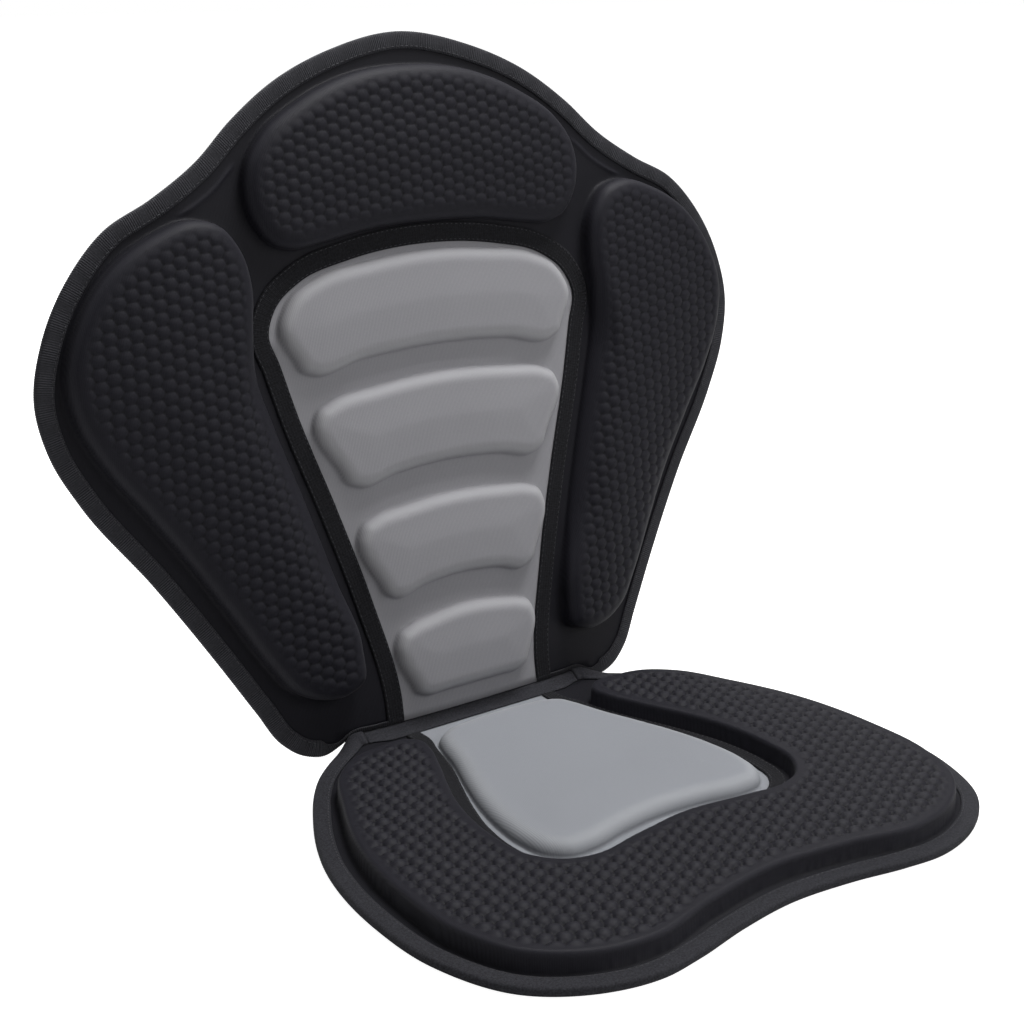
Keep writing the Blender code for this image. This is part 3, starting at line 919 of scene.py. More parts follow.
@dataclass
class Pad:
    """One raised pad of a moulding: a rounded edge up to a gently crowned face.

    The scales of its pattern, if it has one, fade in between the two margins from its edge. The
    highlight place and spread give where the cloth along the top of the edge is palest, where it
    stretches and where a highlight is painted on it, and how far that spreads, as shares of the
    edge.
    """

    outline: np.ndarray
    height: float
    edge: float
    crown: float = 0.0
    crown_reach: float = 0.03
    foot: float = 0.0025
    foot_height: float = 0.0006
    power: float = 2.0
    margin: tuple[float, float] = (0.010, 0.018)
    scaled: float = 0.0
    rim_highlight: tuple[float, float] = (0.45, 0.35)
    soft: SoftSpot | None = None

    RING_DEPTHS = (-0.0022, -0.0011, 0.0, 0.0002, 0.0005, 0.0010, 0.0018, 0.0030, 0.0045)
    CROWN_START = 0.4

    def rings(self) -> list[np.ndarray]:
        """Draw the lines that the pad's steep edge needs, from outside it inwards."""
        return [inset(self.outline, depth, closed=True) for depth in self.RING_DEPTHS]

    def rise(self, points: np.ndarray, depth: np.ndarray) -> np.ndarray:
        """Work out the height of the pad over its flange.

        Args:
            points: points of the plan.
            depth: how deep each lies inside the pad's outline.

        Returns:
            The height at each point.
        """
        soft = self.soft.share(points) if self.soft else np.zeros(len(points))
        edge, power = np.full((2, len(points)), ((self.edge,), (self.power,)))
        if self.soft:
            edge += (self.soft.edge - self.edge) * soft
            power += (self.soft.power - self.power) * soft
        share = np.clip(depth / edge, 0.0, 1.0)
        wall = self.height * (1 - (1 - share) ** power) ** (1 / power)
        flare = self.foot_height * np.clip(1 + depth / self.foot, 0.0, 1.0) ** 2
        inner = np.clip(depth - self.edge * self.CROWN_START, 0.0, None)
        return wall + flare + self.crown * (1 - np.exp(-(inner / self.crown_reach) ** 2))

    def painted_highlight(self, points: np.ndarray, depth: np.ndarray) -> np.ndarray:
        """Tell how pale the cloth along the top of the edge is, where it stretches and a highlight
        is painted.

        Args:
            points: points of the plan.
            depth: how deep each lies inside the pad's outline.

        Returns:
            The painted highlight at each point, up to 1.
        """
        # Painted highlight along the top of the pad's edge, fading out around the soft spot.
        place, spread = np.array(self.rim_highlight) * self.edge
        highlight_share = np.exp(-((depth - place) / spread) ** 2) * (depth > 0)
        return highlight_share * (1.0 - self.soft.share(points)) if self.soft else highlight_share

    def scale_share(self, depth: np.ndarray) -> np.ndarray:
        """How fully the scales stand out at each depth inside the outline."""
        return self.scaled * eased(depth, *self.margin)


@dataclass
class Moulding:
    """One moulded foam panel or cloth sheet, drawn on a plan between an underside and a top.

    The flange shade is painted shade: it darkens the flat cloth around the pads, where the pads
    shadow it.
    """

    name: str
    plan: SeatPlan | BackPlan
    boundary: np.ndarray
    underside: float
    top: float
    pads: list[Pad] = field(default_factory=list)
    pattern: ScalePattern | None = None
    grid: float = FLANGE_GRID
    ridges: list[Ridge] = field(default_factory=list)
    painted_flange_shade: float = 0.0

    RIDGE_FOOT = 0.001
    SHADE_START = -0.0005
    SHADE_END = 0.15
    PATTERN_START = 0.3

    def surface_points(self) -> np.ndarray:
        """Choose the points inside the boundary, dense where the surface has shape.

        Returns:
            The points, clear of the boundary and of the pads' rings.
        """
        spare = SHOWN_SPARE * self.grid
        flange = lattice(self.boundary.min(axis=0), self.boundary.max(axis=0),
                         (self.grid, self.grid * ROW_SHARE))
        flange = flange[signed_depth(flange, self.boundary) > spare]
        inner = Pad.RING_DEPTHS[-1] + SHOWN_SPARE * FACE_GRID
        kept = []
        for pad in self.pads:
            flange = flange[signed_depth(flange, pad.outline) < Pad.RING_DEPTHS[0] - spare]
            low, high = pad.outline.min(axis=0), pad.outline.max(axis=0)
            face = lattice(low, high, (FACE_GRID, FACE_GRID * ROW_SHARE))
            depth = signed_depth(face, pad.outline)
            kept.append(face[(depth > inner) & (pad.scale_share(depth) <= 0.0)])
            if self.pattern and pad.scaled:
                domes = lattice(low, high, self.pattern.spacing())
                depth = signed_depth(domes, pad.outline)
                kept.append(domes[pad.scale_share(depth) > 0.0])
        for ridge in self.ridges:
            flange = flange[ridge.share(flange) < self.RIDGE_FOOT]
            folds = ridge.points()
            clear = [signed_depth(folds, pad.outline) < Pad.RING_DEPTHS[0] - spare / 4
                     for pad in self.pads]
            kept.append(folds[np.all(clear, axis=0)])
        return np.vstack([flange, *kept])

    def top_heights(self, points: np.ndarray) -> tuple[np.ndarray, np.ndarray]:
        """Work out the top's height and the cloth's stretching with its painted light.

        Args:
            points: points of the plan.

        Returns:
            The height, and the stretching with painted highlight and shade, at each point.
        """
        heights = np.full(len(points), self.top)
        shares = np.zeros(len(points))
        # Painted shade over the flat flange, giving way on each pad to its painted highlight.
        stretch_and_shading = np.full(len(points), -self.painted_flange_shade)
        for pad in self.pads:
            depth = signed_depth(points, pad.outline)
            heights += pad.rise(points, depth)
            shares = np.maximum(shares, pad.scale_share(depth))
            raised = eased(depth, self.SHADE_START, pad.edge * self.SHADE_END)
            stretch_and_shading = stretch_and_shading * (1.0 - raised) + pad.painted_highlight(points, depth) * raised
        for ridge in self.ridges:
            fold = ridge.share(points)
            heights += ridge.height * fold
            # Painted highlight along each fold.
            stretch_and_shading += fold * ridge.painted_highlight
        if self.pattern:
            domes = self.pattern.height(points)
            creases = shares * self.pattern.creases(domes)
            heights += shares * domes - self.pattern.pit * creases ** 2
            # Painted highlights on the dome tops, painted shade in the creases and pits.
            patterned = shares * self.pattern.crest_highlights(domes) - creases
            stretch_and_shading = np.where(shares > self.PATTERN_START, patterned, stretch_and_shading - creases)
        return heights, stretch_and_shading

    def build(self, material: bpy.types.Material) -> bpy.types.Object:
        """Build the moulding as one closed mesh.

        Args:
            material: its finish.

        Returns:
            The object.
        """
        boundary = leftwards(self.boundary)
        rings = [ring for pad in self.pads for ring in pad.rings()]
        upper, upper_faces = filled(boundary, rings, self.surface_points())
        heights, stretch_and_shading = self.top_heights(upper)
        hidden = lattice(boundary.min(axis=0), boundary.max(axis=0), (HIDDEN_GRID, HIDDEN_GRID))
        hidden = hidden[signed_depth(hidden, boundary) > HIDDEN_GRID * HIDDEN_SPARE]
        lower, lower_faces = filled(boundary, [], hidden)
        count = len(upper)
        verts = np.vstack([
            self.plan.place(upper, heights), self.plan.place(lower, self.underside),
        ])
        ring = np.arange(len(boundary))
        after = np.roll(ring, -1)
        walls = np.column_stack([count + ring, count + after, after, ring])
        faces = upper_faces.tolist() + (lower_faces[:, ::-1] + count).tolist() + walls.tolist()
        cloth = np.vstack([upper, lower])
        stretch_and_shading = np.concatenate([stretch_and_shading, np.zeros(len(lower))])
        return make_piece(self.name, verts, faces, cloth, material, stretch_and_shading)


@dataclass
class Tape:
    """A woven tape swept along a line of a plan.

    Its section is a closed ring of rows: inset from the line, height, and how far a rib there
    stands out along the inset and along the height. Where an end width is given, the tape's upper
    face narrows to it between the two distances from its ends, with a slack that keeps its rows
    apart, and its ribs grow calmer there. Where an end lift is given, the tape's outer edge is
    raised by it up to the first distance of the reach and lies flat from the second on.
    """

    name: str
    plan: SeatPlan | BackPlan
    line: np.ndarray
    section: np.ndarray
    step: float
    rib_pitch: float = 0.0
    rib_height: float = 0.0
    end_lift: float = 0.0
    end_reach: tuple[float, float] = (0.004, 0.030)
    end_width: float = 0.0
    end_narrows: tuple[float, float] = (0.045, 0.062)
    end_calm: float = 0.8
    end_slack: float = 0.1

    def build(self, material: bpy.types.Material) -> bpy.types.Object:
        """Sweep the section along the line and close both ends.

        Args:
            material: the tape's finish.

        Returns:
            The object.
        """
        line = evenly_spaced(self.line, self.step)
        run = np.arange(len(line)) * self.step
        side = sideways(line)
        to_end = np.minimum(run, run[-1] - run)
        narrow = np.zeros(len(line))
        if self.end_width:
            narrow = 1.0 - eased(to_end, *self.end_narrows)
        rib = np.zeros(len(line))
        if self.rib_pitch:
            rib = self.rib_height * (0.5 + 0.5 * np.cos(math.tau * run / self.rib_pitch))
            rib = rib * (1.0 - self.end_calm * narrow)
        around = np.concatenate([
            [0.0], np.cumsum(np.linalg.norm(np.diff(self.section[:, :2], axis=0), axis=1)),
        ])
        verts, cloth, shade = [], [], []
        lift = self.end_lift * (1.0 - eased(to_end, *self.end_reach))
        width = np.abs(self.section[:, 0]).max()
        middle = self.section[:, 1].mean()
        for (distance, height, rib_in, rib_up), place in zip(self.section, around):
            spare = max(0.0, distance - self.end_width) if height > middle else 0.0
            across = distance - spare * (1.0 - self.end_slack * distance / width) * narrow
            flat = line + side * (across + rib * rib_in)[:, None]
            raised = lift * (height / TAPE_TOP) * (1.0 - (distance / width) ** 2)
            # Painted shade: darker between the ribs and where they calm at the narrowed ends; on
            # the binding's hidden underside it turns positive and takes the paler colour.
            shade.append((rib / self.rib_height - 1.0) * rib_up if self.rib_pitch else rib)
            verts.append(self.plan.place(flat, height + rib * rib_up + raised))
            cloth.append(np.column_stack([run, np.full(len(run), place)]))
        rows, columns = len(self.section), len(line)
        index = np.arange(rows * columns).reshape(rows, columns)
        beside = np.roll(index, -1, axis=0)
        quads = np.stack(
            [index[:, :-1], index[:, 1:], beside[:, 1:], beside[:, :-1]], axis=-1,
        ).reshape(-1, 4)
        faces = quads.tolist()
        faces += [index[:, 0].tolist(), index[::-1, -1].tolist()]
        return make_piece(self.name, np.vstack(verts), faces, np.vstack(cloth), material,
                          np.concatenate(shade))


def binding_section(width: float) -> np.ndarray:
    """Draw the section of a tape folded over a panel's edge.

    Args:
        width: how far the fold reaches in from the edge.

    Returns:
        Rows of inset, height, and the rib's direction along both.
    """
    low, high, rounding = CLEARANCE, TAPE_TOP, FOLD_RADIUS
    under_share, swell_start, edge_share, edge_drop, edge_rib = 0.55, 0.15, 0.98, 0.0001, 0.4
    rows = [(width, low, 0, 0), (width * under_share, low, 0, -1), (rounding, low, 0, -1)]
    for turn in np.radians([30, 60, 90]):
        rows.append((rounding * (1 - math.sin(turn)), low + rounding * (1 - math.cos(turn)),
                     -math.sin(turn), -math.cos(turn)))
    for turn in np.radians([0, 30, 60, 90]):
        rows.append((rounding * (1 - math.cos(turn)), high - rounding * (1 - math.sin(turn)),
                     -math.cos(turn), math.sin(turn)))
    for share in (0.35, 0.55, 0.75, 0.9):
        swell = FOLD_SWELL * math.sin(math.pi * (share - swell_start) / (1 - swell_start))
        rows.append((width * share, high + swell, 0, 1))
    rows.append((width * edge_share, high - edge_drop, 0, edge_rib))
    rows.append((width, TAPE_UNDERSIDE, 0, 0))
    rows.append((TAPE_THICKNESS, TAPE_UNDERSIDE, 0, 0))
    rows.append((TAPE_THICKNESS, low + TAPE_THICKNESS, 0, 0))
    rows.append((width, low + TAPE_THICKNESS, 0, 0))
    return np.array(rows, float)


def flat_section(width: float, cords: int) -> np.ndarray:
    """Draw the section of a flat tape with fine cords woven along it.

    Args:
        width: the tape's width, which lies to the right of its line.
        cords: how many cords stand out across the width.

    Returns:
        Rows of inset, height, and the rib's direction along both.
    """
    points_per_cord, edge_drop = 3, TAPE_THICKNESS * 0.35
    shares = np.linspace(0.0, 1.0, cords * points_per_cord + 1)
    top = TAPE_TOP + SEAM_CORD_HEIGHT * np.abs(np.sin(math.pi * cords * shares))
    top[[0, -1]] = TAPE_TOP - edge_drop
    # The cords' rows carry the cross ribs, and with them painted shade between the ribs.
    ribbed = np.where((shares > 0.0) & (shares < 1.0), 1.0, 0.0)
    upper = [(-width * share, height, 0, rib) for share, height, rib in zip(shares, top, ribbed)]
    lower = [(-width, TAPE_UNDERSIDE, 0, 0), (0.0, TAPE_UNDERSIDE, 0, 0)]
    return np.array(upper + lower, float)


@dataclass(frozen=True)
class StitchRow:
    """A row of lockstitches: short bent threads, laid end to end with a gap between them.

    A stitch's stations lie along it as shares of its length, each with a lift and a girth as
    shares of its radius.
    """

    pitch: float = 0.0034
    length: float = 0.0025
    radius: float = 0.00027
    sides: int = 6

    STATIONS = (-0.5, -0.42, -0.2, 0.0, 0.2, 0.42, 0.5)
    LIFTS = (-1.6, -0.3, 0.25, 0.4, 0.25, -0.3, -1.6)
    GIRTHS = (0.45, 0.85, 1.0, 1.0, 1.0, 0.85, 0.45)

    def build(
        self, name: str, plan: SeatPlan | BackPlan, lines: list[tuple[np.ndarray, float]],
        material: bpy.types.Material,
    ) -> bpy.types.Object:
        """Lay stitches along lines of a plan.

        Args:
            name: the piece's name.
            plan: the plan that the lines lie on.
            lines: each line with the height that its stitches lie at.
            material: the thread's finish.

        Returns:
            One object that holds every stitch.
        """
        shares = np.array(self.STATIONS)
        lift = np.array(self.LIFTS) * self.radius
        girth = np.array(self.GIRTHS) * self.radius
        turns = np.arange(self.sides) * math.tau / self.sides
        verts, faces, cloth = [], [], []
        count = 0
        for line, height in lines:
            middles = evenly_spaced(line, self.pitch)[1:-1]
            side = sideways(middles)
            along = np.column_stack([side[:, 1], -side[:, 0]])
            for middle, across, forward in zip(middles, side, along):
                centre = middle + np.outer(shares * self.length, forward)
                flat = centre[:, None, :] + (girth[:, None] * np.cos(turns))[:, :, None] * across
                up = height + lift[:, None] + girth[:, None] * np.sin(turns)
                verts.append(plan.place(flat.reshape(-1, 2), up.ravel()))
                cloth.append(np.column_stack([
                    np.repeat(shares * self.length, self.sides),
                    np.tile(turns * self.radius, len(shares)),
                ]))
                faces += swept_faces(len(shares), self.sides, count)
                count += len(shares) * self.sides
        return make_piece(name, np.vstack(verts), faces, np.vstack(cloth), material)


def seam_tape(
    name: str, plan: SeatPlan | BackPlan, window: np.ndarray, width: float, cords: int,
) -> Tape:
    """Lay a corded tape with fine cross ribs around the opening of a panel."""
    return Tape(name, plan, window, flat_section(width, cords), SEAM_RIB / POINTS_PER_RIB,
                rib_pitch=SEAM_RIB, rib_height=SEAM_RIB_HEIGHT)


def seam_rows(window: np.ndarray, width: float) -> list[tuple[np.ndarray, float]]:
    """Draw the two rows of stitches along a seam tape, each with its height."""
    insets = (-SEAM_STITCHES, SEAM_STITCHES - width)
    return [(inset(window, distance), STITCH_HEIGHT) for distance in insets]


def dressed(piece: bpy.types.Object, body: str, slot: str, *nodes: str) -> bpy.types.Object:
    """Put a piece on a body and report it.

    Args:
        piece: the piece.
        body: the body that it rides on.
        slot: a material slot's name; not used.
        nodes: the nodes that it stands for.

    Returns:
        The piece.
    """
    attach(piece, body)
    if nodes:
        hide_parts(*nodes)
    triangles = sum(len(face.vertices) - 2 for face in piece.data.polygons)
    LOG.info("%s: %d triangles, rides on %s", piece.name, triangles, body)
    return piece


# The seat base

@dataclass
class SeatBase:
    """The seat: a black horseshoe pad, a grey middle pad, their seam tape and the edge binding."""

    plan: SeatPlan = field(default_factory=SeatPlan)
    binding_width: float = 0.0105
    binding_lift: float = 0.0054
    tape_width: float = 0.010
    tape_lead: float = 0.012
    tape_start: float = 0.0155
    window_rear_share: float = 0.253
    outline_shares: tuple = (
        (0.000, 0.955), (0.211, 0.968), (0.395, 0.990), (0.526, 0.998), (0.684, 0.977),
        (0.868, 0.903), (0.979, 0.758), (1.000, 0.613), (0.953, 0.403), (0.842, 0.245),
        (0.684, 0.103),
    )
    window_shares: tuple = (
        (0.000, 0.629), (0.158, 0.639), (0.289, 0.655), (0.379, 0.648), (0.442, 0.613),
        (0.461, 0.555), (0.453, 0.468), (0.418, 0.387), (0.368, 0.306), (0.313, 0.219),
        (0.276, 0.135),
    )
    pad_shares: tuple = (
        (0.000, 0.906), (0.263, 0.926), (0.500, 0.956), (0.684, 0.932), (0.826, 0.865),
        (0.900, 0.758), (0.913, 0.613), (0.874, 0.435), (0.779, 0.284), (0.684, 0.177),
        (0.589, 0.132), (0.474, 0.119), (0.384, 0.123), (0.347, 0.145), (0.353, 0.187),
        (0.389, 0.248), (0.442, 0.323), (0.489, 0.397), (0.518, 0.474), (0.526, 0.555),
        (0.511, 0.626), (0.453, 0.674), (0.358, 0.695), (0.237, 0.687), (0.000, 0.668),
    )
    centre_shares: tuple = (
        (0.000, 0.615), (0.158, 0.624), (0.289, 0.639), (0.368, 0.634), (0.420, 0.603),
        (0.440, 0.548), (0.433, 0.468), (0.403, 0.384), (0.359, 0.303), (0.307, 0.216),
        (0.277, 0.152), (0.255, 0.122), (0.205, 0.101), (0.105, 0.090), (0.000, 0.087),
    )
    corner_lead: float = 0.0055
    corner_reach: float = 0.018
    corner_rise: float = 0.008
    pattern: ScalePattern = ScalePattern(half_pitch=(0.0088, 0.0043), radius=0.0060, rise=0.0028,
                                         samples=(7, 5), pit=0.0012, crest_highlight=0.85)

    def outline(self) -> np.ndarray:
        """Draw the seat's edge.

        Returns:
            The edge, open between the two ends of the hinge.
        """
        corner = [(HINGE_SIDE + self.corner_reach, self.corner_rise),
                  (HINGE_SIDE + self.corner_lead, 0.0), (HINGE_SIDE, 0.0)]
        half = np.vstack([self.plan.sized(self.outline_shares), corner])
        return leftwards(curve_through(mirrored_line(half)))

    def window(self, start: float) -> np.ndarray:
        """Draw the edge of the opening that the grey pad fills.

        Args:
            start: how far off the seat's rear the edge starts and ends.

        Returns:
            The edge, open at the rear.
        """
        side = self.window_rear_share * self.plan.width / 2
        ends = [(side, start + self.tape_lead), (side, start)]
        half = np.vstack([self.plan.sized(self.window_shares), ends])
        return leftwards(curve_through(mirrored_line(half)))

    def build(self, finishes: Finishes) -> None:
        """Build and dress the seat's pieces.

        Args:
            finishes: the seat's cloths.
        """
        self.build_pads(finishes)
        self.build_tapes(finishes)
        self.build_underside(finishes)

    def build_pads(self, finishes: Finishes) -> None:
        """Build the black horseshoe pad and the grey middle pad.

        Args:
            finishes: the seat's cloths.
        """
        seam_width = (self.tape_width + CLEARANCE) / 2
        edge = inset(self.outline(), EDGE_INSET)
        notches = [(edge[place][0], SEAT_REAR_AT_HINGE) for place in (0, -1)]
        window = self.window(SEAT_REAR_AT_HINGE)
        boundary = np.vstack([notches[0], edge, notches[1], inset(window, -seam_width)[::-1]])
        # The pad's edge gets a painted highlight along its top.
        pad = Pad(pad_loop(self.plan.sized(self.pad_shares)), height=0.0118, edge=0.0032,
                  crown=0.0012, power=4.0, margin=(0.0040, 0.0100), scaled=1.0,
                  rim_highlight=(0.30, 0.25))
        black = Moulding("seat_black_pad", self.plan, boundary, FLANGE_UNDERSIDE, FLANGE_TOP,
                         [pad], self.pattern, painted_flange_shade=0.4).build(finishes.black)
        dressed(black, "seat", "black_moulded_fabric", "seat_moulded_pad")

        panel = inset(window, -(self.tape_width - CLEARANCE) / 2)
        centre = Pad(pad_loop(self.plan.sized(self.centre_shares)), height=0.0088, edge=0.0110,
                     crown=0.0018)
        grey = Moulding("seat_grey_pad", self.plan, panel, FLANGE_UNDERSIDE, FLANGE_TOP,
                        [centre]).build(finishes.seat_grey)
        dressed(grey, "seat", "light_grey_knit", "seat_centre_pad")

    def build_tapes(self, finishes: Finishes) -> None:
        """Build the edge binding, the seam tape and their stitches.

        Args:
            finishes: the seat's cloths.
        """
        outline = self.outline()
        binding = Tape("seat_binding", self.plan, outline, binding_section(self.binding_width),
                       LINE_STEP, end_lift=self.binding_lift)
        dressed(binding.build(finishes.twill), "seat", "black_woven_tape", "seat_edge_binding")
        window = self.window(self.tape_start)
        tape = seam_tape("seat_seam_tape", self.plan, window, self.tape_width, cords=5)
        dressed(tape.build(finishes.seam), "seat", "black_woven_tape", "seat_centre_tape")
        rows = [(inset(outline, self.binding_width - BINDING_STITCHES), STITCH_HEIGHT),
                *seam_rows(window, self.tape_width)]
        stitches = StitchRow().build("seat_stitching", self.plan, rows, finishes.thread)
        dressed(stitches, "seat", "black_woven_tape")

    def build_underside(self, finishes: Finishes) -> None:
        """Build the plain cloth that the seat rests on.

        Args:
            finishes: the seat's cloths.
        """
        base = footed(inset(self.outline(), self.binding_width + CLEARANCE),
                      SEAT_REAR_AT_HINGE + CLEARANCE)
        sheet = Moulding("seat_underside", self.plan, base, 0.0, COVER_THICKNESS,
                         grid=SHEET_GRID).build(finishes.plain)
        dressed(sheet, "seat", "plain_black_cloth", "seat_base_sheet")


# The backrest

@dataclass
class Backrest:
    """The backrest: a black moulding with head and wing pads around a grey lumbar panel."""

    plan: BackPlan = field(default_factory=BackPlan)
    binding_width: float = 0.0105
    tape_width: float = 0.012
    tape_lead: float = 0.012
    outline_foot_share: float = 0.345
    window_foot_share: float = 0.205
    binding_foot: float = 0.0024
    foot_step: float = 0.0135
    rib: float = 0.0014
    rib_height: float = 0.00024
    rib_stitch_lift: float = 0.0003
    stitch_start: float = 0.062
    outline_shares: tuple = (
        (0.000, 1.000), (0.196, 0.978), (0.353, 0.939), (0.471, 0.891), (0.569, 0.840),
        (0.686, 0.797), (0.804, 0.762), (0.894, 0.708), (0.969, 0.630), (1.000, 0.554),
        (0.980, 0.480), (0.925, 0.410), (0.784, 0.285), (0.647, 0.149), (0.576, 0.074),
        (0.525, 0.022), (0.478, -0.001), (0.424, -0.009), (0.380, 0.000),
    )
    window_shares: tuple = (
        (0.000, 0.701), (0.216, 0.689), (0.345, 0.668), (0.416, 0.637), (0.443, 0.600),
        (0.424, 0.558), (0.392, 0.482), (0.322, 0.346), (0.255, 0.201),
    )
    head_shares: tuple = (
        (0.000, 0.954), (0.157, 0.945), (0.314, 0.910), (0.412, 0.872), (0.463, 0.830),
        (0.475, 0.795), (0.459, 0.752), (0.420, 0.722), (0.369, 0.712), (0.294, 0.716),
        (0.176, 0.727), (0.000, 0.732),
    )
    wing_shares: tuple = (
        (0.608, 0.766), (0.714, 0.750), (0.820, 0.712), (0.898, 0.654), (0.941, 0.579),
        (0.925, 0.516), (0.871, 0.451), (0.800, 0.390), (0.714, 0.312), (0.627, 0.224),
        (0.549, 0.142), (0.502, 0.102), (0.443, 0.080), (0.373, 0.074), (0.318, 0.089),
        (0.310, 0.141), (0.345, 0.235), (0.404, 0.364), (0.459, 0.474), (0.492, 0.554),
        (0.492, 0.615), (0.484, 0.668), (0.504, 0.722), (0.550, 0.756),
    )
    lumbar_shares: tuple = (
        ((0.6915, 0.4235, 0.1412, 0.0188), (0.5554, 0.3882, 0.0431, 0.0188)),
        ((0.5155, 0.3608, 0.0549, 0.0188), (0.3840, 0.3059, 0.0549, 0.0164)),
        ((0.3371, 0.2784, 0.0510, 0.0141), (0.2127, 0.2353, 0.0510, 0.0164)),
        ((0.1681, 0.2098, 0.0471, 0.0141), (0.0423, 0.1784, 0.0431, 0.0)),
    )
    ridge_shares: tuple = (
        (0.469, 0.838), (0.499, 0.823), (0.534, 0.804), (0.587, 0.784), (0.646, 0.768),
    )
    soft_spot: tuple[float, float] = (0.095, 0.172)
    pattern: ScalePattern = ScalePattern(half_pitch=(0.0077, 0.0037), radius=0.0052, rise=0.0014,
                                         samples=(6, 4), pit=0.0003, crest_highlight=0.1)

    def outline(self, side: float) -> np.ndarray:
        """Draw the backrest's edge.

        Args:
            side: how far from the middle both its ends lie, at the hinge.

        Returns:
            The edge, open along the hinge.
        """
        corner = (self.outline_foot_share * self.plan.width / 2, HINGE_REACH)
        half = np.vstack([self.plan.sized(self.outline_shares), corner])
        run = np.arange(corner[0] - self.foot_step, side + self.foot_step / 3, -self.foot_step)
        half = np.vstack([half, *[(x, HINGE_REACH) for x in (*run, side)]])
        return leftwards(curve_through(mirrored_line(half)))

    def window(self) -> np.ndarray:
        """Draw the edge of the opening that the grey panel fills.

        Returns:
            The edge, open along the hinge.
        """
        side = self.window_foot_share * self.plan.width / 2
        start = HINGE_REACH + self.binding_foot + CLEARANCE
        ends = [(side, start + self.tape_lead), (side, start)]
        half = np.vstack([self.plan.sized(self.window_shares), ends])
        return leftwards(curve_through(mirrored_line(half)))

    def lumbar_half(self, edge: tuple, side: int) -> list[tuple[float, float]]:
        """Draw half of a lumbar pad's top or bottom edge.

        Args:
            edge: its height in the middle, half width, corner radius and arch, as shares.
            side: 1 for a top edge and -1 for a bottom edge.

        Returns:
            Its points, from the middle outwards.
        """
        half_width, radius = np.array(edge[1:3]) * (self.plan.width / 2)
        middle, arch = edge[0] * self.plan.height, edge[3] * self.plan.height
        straight = half_width - radius
        way = 0.6
        points = [(0.0, middle), (straight * way, middle - arch * way ** 2)]
        for turn in np.radians((10, 45, 80)):
            drop = side * radius * (1 - math.cos(turn))
            points.append((straight + radius * math.sin(turn), middle - arch - drop))
        return points

    def build(self, finishes: Finishes) -> None:
        """Build and dress the backrest's pieces.

        Args:
            finishes: the seat's cloths.
        """
        self.build_shell(finishes)
        self.build_panel(finishes)
        self.build_tapes(finishes)
        self.build_rear(finishes)

    def build_shell(self, finishes: Finishes) -> None:
        """Build the black moulding with its head pad and wing pads.

        Args:
            finishes: the seat's cloths.
        """
        side = self.window_foot_share * self.plan.width / 2
        seam_width = (self.tape_width + CLEARANCE) / 2
        edge = inset(self.outline(side + seam_width), EDGE_INSET)
        boundary = np.vstack([edge, inset(self.window(), -seam_width)[::-1]])
        wing = curve_through(self.plan.sized(self.wing_shares), closed=True)
        fold = curve_through(self.plan.sized(self.ridge_shares), step=Ridge.width)
        # The pads get a painted highlight along the tops of their edges.
        looks = {"scaled": 1.0, "margin": (0.0045, 0.0135), "rim_highlight": (0.17, 0.11)}
        pads = [Pad(pad_loop(self.plan.sized(self.head_shares)), height=0.0125, edge=0.0125,
                    crown=0.0015, power=2.3, **looks)]
        for mirror in (1.0, -1.0):
            loop = leftwards(wing * (mirror, 1.0))
            place = (self.soft_spot[0] * mirror, self.soft_spot[1])
            soft = SoftSpot(place, edge=0.026, power=1.7)
            pads.append(Pad(loop, height=0.0150, edge=0.0125, crown=0.0020, power=2.8,
                            soft=soft, **looks))
        ridges = [Ridge(fold * (mirror, 1.0)) for mirror in (1.0, -1.0)]
        shell = Moulding("backrest_black_shell", self.plan, boundary, FLANGE_UNDERSIDE,
                         FLANGE_TOP, pads, self.pattern, ridges=ridges,
                         painted_flange_shade=0.33).build(finishes.black)
        dressed(shell, "backrest", "black_moulded_fabric", "backrest_moulded_shell")

    def build_panel(self, finishes: Finishes) -> None:
        """Build the grey panel with its four lumbar pads.

        Args:
            finishes: the seat's cloths.
        """
        seam = inset(self.window(), -(self.tape_width - CLEARANCE) / 2)
        foot = HINGE_REACH + CLEARANCE
        count = round((seam[-1][0] - seam[0][0]) / LINE_STEP)
        across = np.linspace(seam[-1][0], seam[0][0], abs(count) + 1)
        panel = np.vstack([seam, np.column_stack([across, np.full(len(across), foot)])])
        pads = []
        for top, bottom in self.lumbar_shares:
            half = self.lumbar_half(top, 1) + self.lumbar_half(bottom, -1)[::-1]
            pads.append(Pad(pad_loop(np.array(half)), height=0.0085, edge=0.0085, crown=0.0012,
                            crown_reach=0.02))
        grey = Moulding("backrest_grey_panel", self.plan, panel, FLANGE_UNDERSIDE, FLANGE_TOP,
                        pads).build(finishes.back_grey)
        dressed(grey, "backrest", "mid_grey_knit", "backrest_centre_panel")

